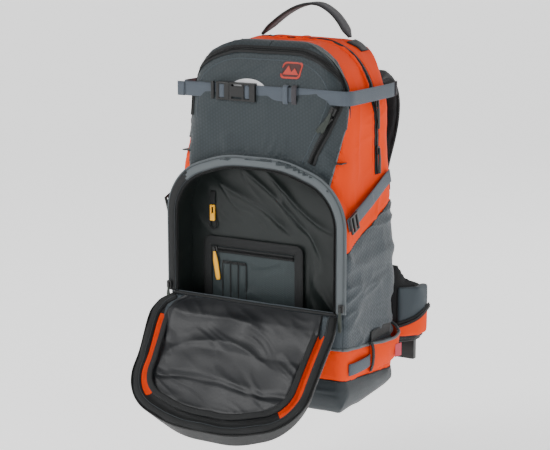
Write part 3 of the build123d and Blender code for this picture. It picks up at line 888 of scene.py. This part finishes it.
def round_rect(cx, cy, w, h, r, slant=0.0, count=6):
    pts = []
    for qx, qy, start in ((1, 1, 0), (-1, 1, 90), (-1, -1, 180), (1, -1, 270)):
        for a in np.radians(np.linspace(start, start + 90, count)):
            y = qy * (h / 2 - r) + r * math.sin(a)
            pts.append((cx + qx * (w / 2 - r) + r * math.cos(a) + slant * y, cy + y))
    return pts


decal("patches", round_rect(44, 128, 31, 23, 5, 0.12), 0.3, 1.5, RED, ["patches"])
decal("patch_ground", round_rect(44, 128, 26, 18, 4, 0.12), 0.9, 1.3, DARK_RED)
# generic mark: a plain mountain outline of two peaks
for i, (x0, top) in enumerate(((39, 134), (49, 131))):
    decal(f"patch_peak_{i}", [(x0 - 8, 122), (x0 + 7, 122), (x0, top)], 1.6, 1.2, RED)
decal("strap_badge", ellipse_arc(-23, 97, 30, 16, 0, 180, 24), 0.6, 1.4, PALE, ["strap_badge"])


def around_bag(pairs, y, lift=0.0):
    """Line over the sides and top at one station y, from (x, z) points outside the bag."""
    pts = np.array([(x, y, z) for x, z in pairs], float)
    centre = np.array([0, y, 400.0])
    out, normals = [], []
    for p in even(pts, 3.0):
        target = np.array([p[0] * 0.3, y, min(p[2], 400.0)])
        d = unit(target - p)
        hit, normal, _, _ = bag_tree.ray_cast(Vector(p), Vector(d))
        if hit is None:
            continue
        out.append(tuple(hit + normal * lift))
        normals.append(tuple(normal if normal.dot(Vector(d)) < 0 else -normal))
    return np.array(out), unit(np.array(normals))


over = [(170, 330), (165, 420)] + ellipse_arc(40, 430, 120, 110, 10, 80, 8) + ellipse_arc(-40, 430, 120,
        110, 100, 170, 8) \
    + [(-165, 420), (-170, 330)]
path, normal = around_bag(over, 18)
sweep("main_zip_track", path, normal, flat(11, 0.9, 0.1), BINDING, "pack", ["main_zip_track"], "zip")
sweep("main_zip_coil", path + normal * 1.0, normal, tube(1.6, 8, 0, 0.7), TEETH)
for side in (-8.5, 8.5):
    flap_path, flap_normal = around_bag(over, 18 + side)
    sweep(f"main_zip_welt_{int(side > 0)}", flap_path, flap_normal, tube(1.3, 8, 0.2, 0.8), ORANGE)
path, normal = around_bag([(175, 300), (172, 360), (166, 420), (158, 448)], 66)
sweep("rear_side_seam", path, normal, tube(1.2), BINDING, slot="webbing")


def side_at(z):
    return HALF_WAIST - (HALF_WAIST - HALF_TOP) * (z - 345) / 172


for name, z, pull in (("upper", 431, 34), ("lower", 364, 30)):
    slider(f"main_slider_{name}", (side_at(z) + 3.2, 18, z), (0, 0.06, -1), (1, 0, 0.06),
           f"main_zip_slider_{name}",
           [f"main_slider_{name}"], pull, OLIVE, 5.5, (8, 12, 3))


# ---- webbing across the front, buckle, compression straps -----------------------------------------
STRAP_X, STRAP_Y, STRAP_Z = 137.5, -71.2, 446.0
TAPE = flat(20, 1.5)


def rounded_corner(sign):
    turn = [(sign * (STRAP_X - 14 + 14 * math.cos(a)), STRAP_Y + 14 - 14 * math.sin(a)) for a in
            np.radians(np.linspace(0, 90, 9))]
    return [(sign * 129.5, 80), (sign * 134, 70), (sign * 136.8, 56), (sign * 137.3, 20)] + turn


left = rounded_corner(1) + [(60, STRAP_Y - 0.4), (-14, STRAP_Y)]
path = even([(x, y, STRAP_Z + 0.6 * math.sin(x / 30)) for x, y in left], 3.0)


def plan_normals(path, sign=1):
    t = tangents(path)
    n = np.stack([t[:, 1], -t[:, 0], t[:, 2] * 0], 1)
    return unit(n) * sign


sweep("front_strap_left", path, plan_normals(path, -1), TAPE, WEBBING, "pack", ["front_strap_left"])
right = [(-66, STRAP_Y)] + [(x, y) for x, y in rounded_corner(-1)[::-1]]
path = even([(x, y, STRAP_Z) for x, y in right], 3.0)
sweep("front_strap_right", path, plan_normals(path, 1), TAPE, WEBBING, "pack", ["front_strap_right"])
tail = even([(-72, STRAP_Y - 2.4, STRAP_Z), (-112, STRAP_Y - 2.8, STRAP_Z - 1),
             (-141, STRAP_Y - 1.2, STRAP_Z - 1)], 3)
sweep("front_strap_tail", tail, plan_normals(tail, 1), TAPE, WEBBING)
sweep("front_strap_tail_fold", tail[-5:] + [0, -1.7, 0], plan_normals(tail[-5:], 1), flat(20.6, 1.6), WEBBING)
sweep("front_strap_end_fold", even([(135.6, 68, STRAP_Z), (130.6, 80, STRAP_Z)], 3), (1, 0.4, 0),
      flat(20.8, 3.2),
      DARK_WEBBING)
fold = even([(-12, STRAP_Y - 1.9, STRAP_Z), (20, STRAP_Y - 2.2, STRAP_Z), (56, STRAP_Y - 1.9, STRAP_Z)], 3)
sweep("front_strap_doubled", fold, FACING, TAPE, WEBBING)
BY = STRAP_Y - 1.2
moulded("front_buckle_female", (42, 6.4, 26), (-29, BY - 3.3, STRAP_Z), "pack", 2.2,
            replaces=["front_buckle_female"],
            holes=[((17, 10, 3.2), (-9, 0, 8.8)), ((17, 10, 3.2), (-9, 0, -8.8)), ((9, 12, 20), (7.5, 0, 0))])
moulded("front_buckle_male", (22.4, 6.2, 26), (-61.7, BY - 3.3, STRAP_Z), "buckle_male", 1.8,
            replaces=["front_buckle_male"], holes=[((8.5, 12, 20), (-1.8, 0, 0))])
for z in (-5.5, 0, 5.5):
    moulded(f"front_buckle_prong_{int(z + 6)}", (20, 2.0, 3.8), (-41, BY - 3.3, STRAP_Z + z), "buckle_male",
                0.8)
for x, half, body in ((-21.5, 8, "pack"), (-63.5, 8, "buckle_male")):
    wrap = even([(x - half, BY - 2.2, STRAP_Z), (x, BY - 4.4, STRAP_Z), (x + half, BY - 2.2, STRAP_Z)], 1.5)
    sweep(f"front_buckle_wrap_{int(-x)}", wrap, FACING, flat(19.2, 1.4), WEBBING, body)
for i, (x, mat) in enumerate(((40, WEBBING), (54, DARK_WEBBING))):
    path = smooth_line([(x, BY + 0.6, STRAP_Z - 12.5), (x, BY - 3.6, STRAP_Z - 12), (x, BY - 4.0, STRAP_Z),
                        (x, BY - 3.6, STRAP_Z + 12), (x, BY + 0.6, STRAP_Z + 12.5)], 1.5)
    name = "strap_keepers" if i == 0 else "strap_keepers_b"
    sweep(name, path, FACING, flat(8, 1.2), mat, "pack", ["strap_keepers"] if i == 0 else [], "webbing")
moulded("front_strap_slider", (5, 4.4, 25), (-80, BY - 2.6, STRAP_Z), "pack", 1.4)

for sign, side in ((1, "left"), (-1, "right")):
    comp = unit(np.array([sign * -8.0, 130.0, 46.0]))
    base = np.array([sign * 147.2, -85, 276.0])
    line = even([base + comp * s + np.array([sign * (1.2 if 8 < s < 120 else 0), 0, 0]) for s in
                 (-4, 8, 40, 90, 120, 144)], 3)
    replaced = ["compression_straps"] if side == "left" else []
    sweep("compression_strap_" + side, line, (sign, 0, 0), TAPE, WEBBING, "pack", replaced)
    second = even([base + comp * s + np.array([sign * 1.9, 0, 0]) for s in (6, 40, 78)], 3)
    sweep("compression_strap_tail_" + side, second, (sign, 0, 0), flat(19.6, 1.4), WEBBING)
    tilt = math.degrees(math.atan2(46, 130))
    moulded("tri_glide_" + side, (3.2, 22, 27), base + comp * 6 + np.array([sign * 5.2, 0, 0]),
                "tri_glide_" + side, 1.1, (tilt, 0, 0), ["tri_glide_" + side],
                holes=[((6, 4, 21), (0, -5, 0)), ((6, 4, 21), (0, 5, 0))])
    # ski loop and side pocket low on the band
    loop = smooth_line([(sign * 146.5, -82, 69), (sign * 149.5, -74, 69), (sign * 150, -50, 69),
                        (sign * 149.5, -30, 69),
                        (sign * 146.5, -20, 69)], 3)
    sweep("gear_loop_" + side, loop, (sign, 0, 0), flat(17, 1.5), WEBBING, "pack",
          ["gear_loops"] if side == "left" else [])
    elastic = smooth_line([(sign * 147, -18, 95), (sign * 151, -17, 86), (sign * 151, -17, 64),
                           (sign * 147, -18, 52)], 3)
    sweep("elastic_" + side, elastic, (sign, 0, 0), flat(7, 1.6), BINDING)
    rows = []
    for z in np.linspace(50, 92, 22):
        for f in np.linspace(0, 1, 40):
            bulge = math.sin(math.pi * min(f * 1.25,
                                           1.0 - 0.5 * (f > 0.8) * (f - 0.8) / 0.2)) if f < 0.4 else (
                1.0 if f < 0.8 else 1 - 0.5 * ((f - 0.8) / 0.2) ** 2)
            stand = 1.0 + 10 * bulge * math.sin(math.pi * min((z - 50) / 62, 1.0)) ** 0.7
            along = 118 * f
            arc = max(along - 58, 0) / 50.0
            x = 101 + (45 + stand) * math.cos(arc) if along > 58 else 146 + stand
            y = -18 + along if along <= 58 else 40 + (45 + stand) * math.sin(arc)
            rise = 6 * smoothstep(0.62, 0.95, f) * (z - 50) / 42
            rows.append((sign * (x + 0.6 * math.sin(y / 5 + z / 7)), y,
                         z + rise - 3 * math.sin(math.pi * f) * (z - 50) / 42))
    rows = np.array(rows)
    obj = mesh_object("side_pocket_" + side, rows, grid_faces(22, 40), ORANGE, "pack",
                      ["side_pockets"] if side == "left" else [])
    thicken(obj)
    sweep("side_pocket_hem_" + side, rows[-40:], (sign, 0, 0), tube(2.2, 8), GREY_BINDING)
    rounded_box("side_label_" + side, (1.2, 15, 19), (sign * 158.6, 47, 69), PINK, "pack", 0.4,
                (0, 0, -sign * 9))
    # painted shade: a thin black strip on the wall over the side pocket's mouth stands in for the shadow
    # inside the opening; it is not a real part
    shade = even([(sign * 146.4, -16, 101), (sign * 147.0, 20, 104), (sign * 146.0, 44, 101)], 3)
    sweep("side_pocket_mouth_painted_shade_" + side, shade, (sign, 0, 0), flat(16, 0.6), BINDING)


# ---- haul loop -------------------------------------------------------------------------------------
path = smooth_line([(x, 58, z) for x,
                    z in ((-78, 515.5), (-70, 522), (-46, 541), (-30, 551), (-14, 558.5), (5, 563),
                          (20, 562.5),
                                            (33, 557), (47, 547), (58, 534), (68, 517))], 3)
along = tangents(path)
loop_normal = unit(np.stack([-along[:, 2], 0 * along[:, 0], along[:, 0]], 1))
taper = 0.15 + 0.85 * smoothstep(514, 529, path[:, 2])
sweep("haul_loop", path, loop_normal, flat(23, 4.4, -1.6, 0.45), DARK_WEBBING, "haul_loop", ["haul_loop"],
      scale=taper)
for sign in (-1, 1):
    sweep(f"haul_loop_edge_{int(sign > 0)}", path + taper[:, None] * [0, sign * 11.6, 0], loop_normal,
          tube(1.5, 8, 0.3),
          BINDING, "haul_loop", slot="webbing")
    foot = [(sign * 70, 58, 519), (sign * 78, 58, 516), (sign * 92, 59, 505)]
    foot_path, foot_normal = drape(even(foot, 2), (0, 0, -1), 0.3)
    sweep(f"haul_loop_anchor_{int(sign > 0)}", foot_path, foot_normal, flat(26, 2.0), BINDING, slot="webbing")


# ---- flap: hanging open from the hinge line -------------------------------------------------------
FLAP_HALF, FLAP_LEN, FLAP_LEAN = 138.0, 206.0, math.radians(43)
FLAP_DOWN = np.array([0, -math.sin(FLAP_LEAN), -math.cos(FLAP_LEAN)])
FLAP_BACK = np.array([0, math.cos(FLAP_LEAN), -math.sin(FLAP_LEAN)])
FLAP_ORIGIN = np.array([0, -96.5, 150.0])


def flap_points(pts):
    """From flap coordinates (x, distance from the hinge, depth) to the pack's frame, with the flap's sag."""
    pts = np.asarray(pts, float)
    x, v, n = pts.T
    bow = 7.0 * np.sin(np.clip(v / FLAP_LEN, 0, 1) * math.pi) * (1 - (x / 190) ** 2)
    deep = np.clip(n / np.maximum(tray(v), 3), 0, 1)
    flare = smoothstep(0, 40, v) * (0.055 - 0.12 * deep * np.clip(v / FLAP_LEN, 0, 1) + 0.03 * (x < 0))
    flare += 0.1 * smoothstep(0, 18, v) * smoothstep(120, 30, v) * (x < 0)
    x = x * (1 + flare)
    n = n - bow + 2.5 * (x / 138) ** 2 * np.clip(v / FLAP_LEN, 0, 1)
    return FLAP_ORIGIN + x[:, None] * [1, 0, 0] + v[:, None] * FLAP_DOWN + n[:, None] * FLAP_BACK


def flap_line(inset, depth, start=4.0, step=4.0):
    """The flap's outline as an open U from hinge to hinge, moved in by inset."""
    half, side = FLAP_HALF - inset, arch_half(FLAP_HALF - inset, FLAP_LEN - inset, 74.0 - inset)
    line = [(-half + 1, start)] + [(-x, v) for x, v in side] + [(x, v) for x,
                                                                v in side[-2::-1]] + [(half - 1, start)]
    line = even(line, step)
    n = depth(line[:, 1]) if callable(depth) else np.full(len(line), float(depth))
    return np.column_stack([line, n])


def tray(v):
    return 3 + 31 / 203 * (v - 3)


def flap_grid(inset, depth, rows=96, cols=120):
    v = 4 + (FLAP_LEN - inset - 4) * (1 - (1 - np.linspace(0, 1, rows)) ** 1.4)
    f = np.linspace(-1, 1, cols)
    gv, gf = np.meshgrid(v, f, indexing="ij")
    side = arch_half(FLAP_HALF - inset, FLAP_LEN - inset, 74.0 - inset)[:-1]
    half = np.interp(gv, side[:, 1], side[:, 0])
    x = gf * half
    return np.stack([x.ravel(), gv.ravel(), np.broadcast_to(depth, gv.shape).ravel() if not callable(depth)
                     else depth(gv).ravel()], 1), grid_faces(rows, cols)


def flap_edge(p, inset):
    """Distance from the flap's inset outline, for points in flap coordinates."""
    return arch_distance(p[:, 0], p[:, 1], FLAP_HALF - inset, FLAP_LEN - inset, 74 - inset)


# outer shell, behind
shell, faces = flap_grid(0.5, tray)
edge = flap_edge(shell, 0)
shell[:, 2] += -1.5 * (1 - smoothstep(0, 14, edge)) * np.clip(shell[:, 1] / 60, 0, 1) + smoothstep(10, 60,
        edge) * (
    1.6 * folds(shell, (1, 0.3, 0), (-0.3, 1, 0), 30, 90, 81, 2.0)) * np.clip(shell[:, 1] / 60, 0, 1)
obj = mesh_object("flap_shell", flap_points(shell), faces, GREY, "flap", ["flap_shell"])
thicken(obj)

# lining that faces the viewer, puckered by its seam
LINING_INSET = 25.0
face, faces = flap_grid(LINING_INSET, lambda v: np.clip(tray(v) - 6, 1.2, 9.0))
edge = flap_edge(face, LINING_INSET)
press = smoothstep(0, 12, edge) * smoothstep(2, 30, face[:, 1])
face[:, 2] -= press * (2.2 * folds(face, (1, 0.12, 0), (-0.12, 1, 0), 40, 170, 91,
                                   1.8) + 2.6 * vnoise(face / 46.0, 93)
                       + 1.0 * folds(face, (1, 0.6, 0), (-0.6, 1, 0), 13, 60, 95, 1.8))
crease = 132 + 5 * np.sin(face[:, 0] / 38) + 3 * vnoise(face / 30.0, 94)
face[:, 2] += press * 2.2 * np.exp(-((face[:, 1] - crease) / 5.0) ** 2)
face[:, 2] -= 1.4 * (1 - smoothstep(0, 16, edge)) * folds(face, (0, 1, 0), (1, 0, 0), 9, 30, 97, 1.4)
mesh_object("flap_lining", flap_points(face), faces, FLAP_LINING, "flap", ["flap_lining"])

# padded black rim, orange gusset, inner binding, zip coil on the rim's edge
def flap_sweep(name, inset, depth, profile, mat, replaces=(), slot=None, start=4.0, wave=0.0):
    line = flap_line(inset, depth, start, 3.5)
    line[:, 2] += wave * vnoise(line / 24.0, 7)
    path = flap_points(line)
    return sweep(name, path, -FLAP_BACK, profile, mat, "flap", replaces, slot)


rim_profile = [(-7.5, -6), (-7.5, -1), (-6, 1.2), (-2, 2.2), (2, 2.2), (5.5, 1.0), (7.0, -1.2), (7.0, -3)]
flap_sweep("flap_binding", 7.6, 2.4, rim_profile, BINDING, ["flap_binding"], "zip", wave=1.6)
flap_sweep("flap_zip_coil", 1.6, 2.0, tube(1.4, 8, 0.8, 0.8), TEETH)
flap_sweep("flap_rim_stitch", 12.0, 1.4, tube(0.4, 6, 0.6), THREAD, slot="zip", wave=1.6)
flap_sweep("flap_inner_binding", LINING_INSET + 2.5, 3.6, flat(9, 2.4), BINDING, wave=1.0)
outer, inner = flap_line(14.0, 4.5, 10.0, 3.5), flap_line(LINING_INSET - 1, 6.5, 10.0, 3.5)
count = 120
lines = []
for s in np.linspace(0, 1, 7):
    a = np.stack([np.interp(np.linspace(0, 1, count), np.linspace(0, 1, len(outer)),
                            outer[:, i]) for i in range(3)], 1)
    b = np.stack([np.interp(np.linspace(0, 1, count), np.linspace(0, 1, len(inner)),
                            inner[:, i]) for i in range(3)], 1)
    mid = a * (1 - s) + b * s
    mid[:, 2] += 2.2 * math.sin(math.pi * s) + 0.8 * vnoise(mid / 8.0, 8) * math.sin(math.pi * s)
    lines.append(mid)
gusset = mesh_object("flap_gusset", flap_points(np.vstack(lines)), grid_faces(7, count), BINDING, "flap",
                     ["flap_gusset"], "orange_fabric")
gusset.data.materials.append(ORANGE)
for face in gusset.data.polygons:
    at = face.index % (count - 1) / (count - 1)
    face.material_index = 1 if 0.05 < at < 0.3 or 0.7 < at < 0.95 else 0
# outer side wall of the tray
wall_rim, lines = flap_line(0.4, 0.0, 6.0, 3.5), []
for s in np.linspace(0, 1, 6):
    row = wall_rim.copy()
    row[:, 2] = 2 + (np.maximum(tray(row[:, 1]) - 1.2, 2.2) - 2) * s
    lines.append(row)
mesh_object("flap_side_wall", flap_points(np.vstack(lines)), grid_faces(6, len(wall_rim)), BINDING, "flap")
hinge_line = even([(-134, -96.2, 149.5), (0, -97.0, 148.5), (134, -96.2, 149.5)], 4)
sweep("flap_hinge_binding", hinge_line, (0, -0.8, 0.6), tube(2.4, 8, 0, 0.8), BINDING, "flap")


# ---- soft padded pieces from the frame's own solids, swelled by a short cloth run -----------------
def padded(node, mat, body, slot, cap=2.4, voxel=4.5, fill=0.7, pressure=4.0, grooves=None):
    """A copy of a plain solid, remeshed, inflated as cloth and smoothed; growth is capped in mm."""
    mesh = NODES[node].data.copy()
    obj = bpy.data.objects.new(node, mesh)
    bpy.context.collection.objects.link(obj)
    mod = obj.modifiers.new("remesh", "REMESH")
    mod.mode, mod.voxel_size = "VOXEL", voxel / 1000
    mod = obj.modifiers.new("smooth", "SMOOTH")
    mod.factor, mod.iterations = 0.5, 4
    apply(obj)
    rest = np.array([v.co for v in obj.data.vertices])
    cloth = obj.modifiers.new("cloth", "CLOTH")
    settings = cloth.settings
    settings.quality, settings.mass = 5, 0.3
    settings.use_pressure, settings.uniform_pressure_force = True, pressure
    settings.tension_stiffness = settings.compression_stiffness = 12
    settings.effector_weights.gravity = 0
    cloth.point_cache.frame_start, cloth.point_cache.frame_end = 1, 14
    for step in range(1, 15):
        bpy.context.scene.frame_set(step)
    apply(obj)
    bpy.context.scene.frame_set(1)
    now = np.array([v.co for v in obj.data.vertices])
    move = now - rest
    length = np.linalg.norm(move, axis=1, keepdims=True)
    limit = cap / 1000
    move *= np.where(length > limit, limit / np.maximum(length, 1e-9), 1)
    co = rest + move
    mm = co * 1000 + HOOK
    if grooves:
        normals = np.array([v.normal for v in obj.data.vertices])
        co -= normals * grooves(mm)[:, None] / 1000
    obj.data.vertices.foreach_set("co", co.ravel())
    mod = obj.modifiers.new("smooth", "SMOOTH")
    mod.factor, mod.iterations = 0.5, 3
    mod = obj.modifiers.new("fine", "SUBSURF")
    mod.levels = mod.render_levels = 1
    apply(obj)
    obj.data.polygons.foreach_set("use_smooth", [True] * len(obj.data.polygons))
    obj.data.materials.clear()
    finish(obj, body, [node], slot, [mat])
    return obj


def channels(axis, spacing, depth, width=3.0):
    def grooves(mm):
        phase = (mm[:, axis] / spacing) % 1.0
        near = np.minimum(phase, 1 - phase) * spacing
        return depth * np.exp(-(near / width) ** 2)
    return grooves


padded("back_pads", SPACER, "pack", "padding", 3.0, grooves=channels(2, 74.0, 2.2))
padded("lumbar_pad", SPACER, "pack", "padding", 3.0, grooves=channels(0, 42.0, 1.8))
padded("shoulder_straps", BLACK_CLOTH, "pack", "padding", 2.0)
for side in ("left", "right"):
    padded("hip_wing_" + side, BLACK_CLOTH, "hip_wing_" + side, "padding", 2.0, 3.5)
    pocket = padded("hip_pocket_" + side, ORANGE, "hip_wing_" + side, "orange_fabric", 2.5, 3.0,
                    grooves=lambda mm: 0.8 * folds(mm, (1, 1, 0), (0, 0, 1), 14, 40, 101, 2.0))
    pocket.data.materials.append(SMOOTH_GREY)
    for face in pocket.data.polygons:
        at = np.array(face.center) * 1000 + HOOK
        face.material_index = int(at[2] > np.interp(at[1], (89, 101, 114, 138), (92, 98, 106, 118)))

# shoulder strap bindings and daisy webbing
STRAP_LINE = [(88, 452), (112, 461), (134, 452), (150, 432), (155, 410), (151, 384), (139, 357), (122, 328),
              (108, 292),
              (104, 254)]
for sign in (-1, 1):
    tag = "left" if sign > 0 else "right"
    line = smooth_line([(sign * 69, y, z) for y, z in STRAP_LINE], 4)
    t = tangents(line)
    out = np.stack([0 * t[:, 0], -t[:, 2], t[:, 1]], 1)
    for edge in (-31, 31):
        sweep(f"strap_edge_{tag}_{int(edge > 0)}", line + np.array([edge, 0, 0]), out, tube(1.8, 8, 0, 1.6),
              BINDING)
    sweep(f"strap_daisy_{tag}", line[6:-4] + out[6:-4] * 6.2, out[6:-4], flat(20, 1.2), DARK_WEBBING)
    lower = smooth_line([(sign * 72.5, 104, 256), (sign * 72.5, 96, 236), (sign * 72.5, 89, 190),
                         (sign * 72.5, 87, 150)], 4)
    replaced = ["strap_webbing"] if sign > 0 else []
    sweep(f"strap_webbing_{tag}", lower, (0, 1, -0.1), flat(24, 1.5), WEBBING, "pack", replaced)
    lifter = even([(sign * 68, 130, 461), (sign * 68, 86, 490)], 4)
    sweep(f"load_lifter_{tag}", lifter, (0, 0.4, 1), flat(19, 1.5), WEBBING)
    moulded(f"ladder_lock_{tag}", (32, 5, 14), (sign * 72.5, 107, 245), "pack", 1.5, (-28, 0, 0),
                ["ladder_locks"] if sign > 0 else [], holes=[((24, 8, 3), (0, 0, 2.4)),
                                                                             ((24, 8, 2.6), (0, 0, -3))])
sternum = even([(-78, 162.7, 400), (0, 162.7, 400), (78, 162.7, 400)], 4)
sweep("sternum_webbing", sternum, (0, 1, 0), flat(20, 1.5, -0.7), WEBBING, "sternum_strap",
      ["sternum_webbing"])
moulded("sternum_buckle", (48, 7.2, 26), (0, 163.7, 400), "sternum_strap", 2.2, (0, 0, 0),
            ["sternum_buckle"], holes=[((16, 12, 3.2), (6, 0, 8.6)), ((16, 12, 3.2), (6, 0, -8.6)),
                                                       ((3.2, 14, 20), (20.4, 0, 0)),
                                       ((3.2, 14, 20), (-20.4, 0, 0))])

# hip belt: bindings, pocket zips, webbing and buckle halves
WING = [(104, 94), (128, 102), (147, 120), (148, 142), (134, 160), (108, 170)]
for sign in (-1, 1):
    tag = "left" if sign > 0 else "right"
    body = "hip_wing_" + tag
    for z in (66, 140):
        line = smooth_line([(sign * x, y, z) for x, y in WING], 3)
        sweep(f"wing_edge_{tag}_{int(z)}", line, (0, 0, 1 if z > 100 else -1), tube(2.2, 8, 0, 1.3),
              BINDING, body)
    zipped = smooth_line([(sign * 134.5, 89.5, 92), (sign * 150, 101, 98), (sign * 161.5, 114, 106),
                          (sign * 163.5, 138, 118)], 3)
    zn = unit(np.stack([sign * (0.5 + (zipped[:, 1] - 89) / 60), -1.2 + (zipped[:, 1] - 89) / 50,
                        0 * zipped[:, 0]], 1))
    sweep(f"hip_pocket_zip_{tag}", zipped, zn, flat(9, 1.0, 0.2), BINDING, body, slot="zip")
    sweep(f"hip_pocket_coil_{tag}", zipped + zn * 1.4, zn, tube(1.2, 8, 0, 0.7), TEETH, body)
    drop = smooth_line([(sign * 112, 170, 126), (sign * 109, 175, 122), (sign * 108.5, 175.6, 100),
                        (sign * 108.5, 175.8, 60)], 3)
    sweep("hip_webbing_" + tag, drop, (0, 1, 0), flat(24, 1.5), WEBBING, body, ["hip_webbing_" + tag])
half = [((17, 14, 26), (0, 0, -12))]
moulded("hip_buckle_female", (29, 9.2, 44), (108.5, 175.8, 40), "hip_wing_left", 3.0, (0, 0, 0),
            ["hip_buckle_female"], holes=[((22, 6, 30), (0, 0, -10)), ((20, 14, 3.4), (0, 0, 15))])
moulded("hip_buckle_male", (29, 9.2, 18), (-108.5, 175.8, 53), "hip_wing_right", 2.6, (0, 0, 0),
            ["hip_buckle_male"], holes=[((20, 14, 3.4), (0, 0, 3))])
for x in (-118, -108.5, -99):
    moulded(f"hip_buckle_prong_{int(-x)}", (5, 5, 27), (x, 175.8, 32), "hip_wing_right", 1.2)


# ---- inside: linings, stays, sleeve ---------------------------------------------------------------
for node, mat in (("frame_sheet", SHEET), ("frame_stays", METAL), ("hydration_sleeve", LINING),
                  ("goggle_pocket_lining", LINING)):
    obj = bpy.data.objects.new("inner_" + node, NODES[node].data.copy())
    bpy.context.collection.objects.link(obj)
    obj.data.materials.clear()
    finish(obj, "pack", [node], mats=[mat])


# ---- camera, light, floor -------------------------------------------------------------------------
def add_light(name, at, target, size, power, colour=(1, 1, 1)):
    light = bpy.data.lights.new(name, "AREA")
    light.shape, light.size, light.energy, light.color = "DISK", size, power, colour
    obj = bpy.data.objects.new(name, light)
    obj.location = at
    obj.rotation_euler = (Vector(target) - Vector(at)).to_track_quat("-Z", "Y").to_euler()
    bpy.context.collection.objects.link(obj)


AZIMUTH, PITCH, FOCAL, DISTANCE = math.radians(31), math.radians(11.5), 1600.0, 2330.0
right = np.array([math.cos(AZIMUTH), math.sin(AZIMUTH), 0])
forward = np.array([-math.sin(AZIMUTH) * math.cos(PITCH), math.cos(AZIMUTH) * math.cos(PITCH),
                    -math.sin(PITCH)])
up = np.cross(right, forward)
target = np.array([0, 0, 250.0])
eye = target - forward * DISTANCE - right * 18.9 - up * 4.4
camera = bpy.data.objects.new("camera", bpy.data.cameras.new("camera"))
camera.data.lens, camera.data.sensor_width = FOCAL / 550 * 36, 36
camera.data.clip_end = 20
turn = Matrix([[right[i], up[i], -forward[i]] for i in range(3)])
camera.matrix_world = Matrix.Translation(Vector(metres(eye))) @ turn.to_4x4()
bpy.context.collection.objects.link(camera)
bpy.context.scene.camera = camera

centre = Vector(metres((0, 0, 230)))
add_light("key", centre + Vector((-1.5, -2.0, 2.2)), centre, 1.5, 56)
add_light("fill", centre + Vector((2.4, -1.4, 0.7)), centre, 2.0, 15)
add_light("rim", centre + Vector((0.6, 2.2, 1.8)), centre, 1.6, 24)
world = bpy.data.worlds.new("studio")
bpy.context.scene.world = world
world.use_nodes = True
world.node_tree.nodes["Background"].inputs["Color"].default_value = (1.0, 1.0, 1.0, 1)
world.node_tree.nodes["Background"].inputs["Strength"].default_value = 0.34
PALE_FLOOR = material("floor", None, (250, 250, 250), 0.9, None, sheen=0.0, vary=0.0, bump=0.0)
PALE_FLOOR.node_tree.nodes["Principled BSDF"].inputs["Emission Color"].default_value = (1, 1, 1, 1)
PALE_FLOOR.node_tree.nodes["Principled BSDF"].inputs["Emission Strength"].default_value = 0.9
REACH, BOWL = 4500, 3000      # the flat floor's radius, and the radius of its upturned edge
rings = [(r, FLOOR_Z) for r in np.linspace(1, REACH, 12)]
rings += [(REACH + BOWL * math.sin(a), FLOOR_Z + BOWL - BOWL * math.cos(a))
          for a in np.radians(np.linspace(5, 85, 17))]
turns = np.linspace(0, 2 * math.pi, 73)[:-1]
sweep_points = [(r * math.cos(t), r * math.sin(t), z) for r, z in rings for t in turns]
floor = mesh_object("floor", sweep_points, grid_faces(len(rings), len(turns), wrap=True), PALE_FLOOR)
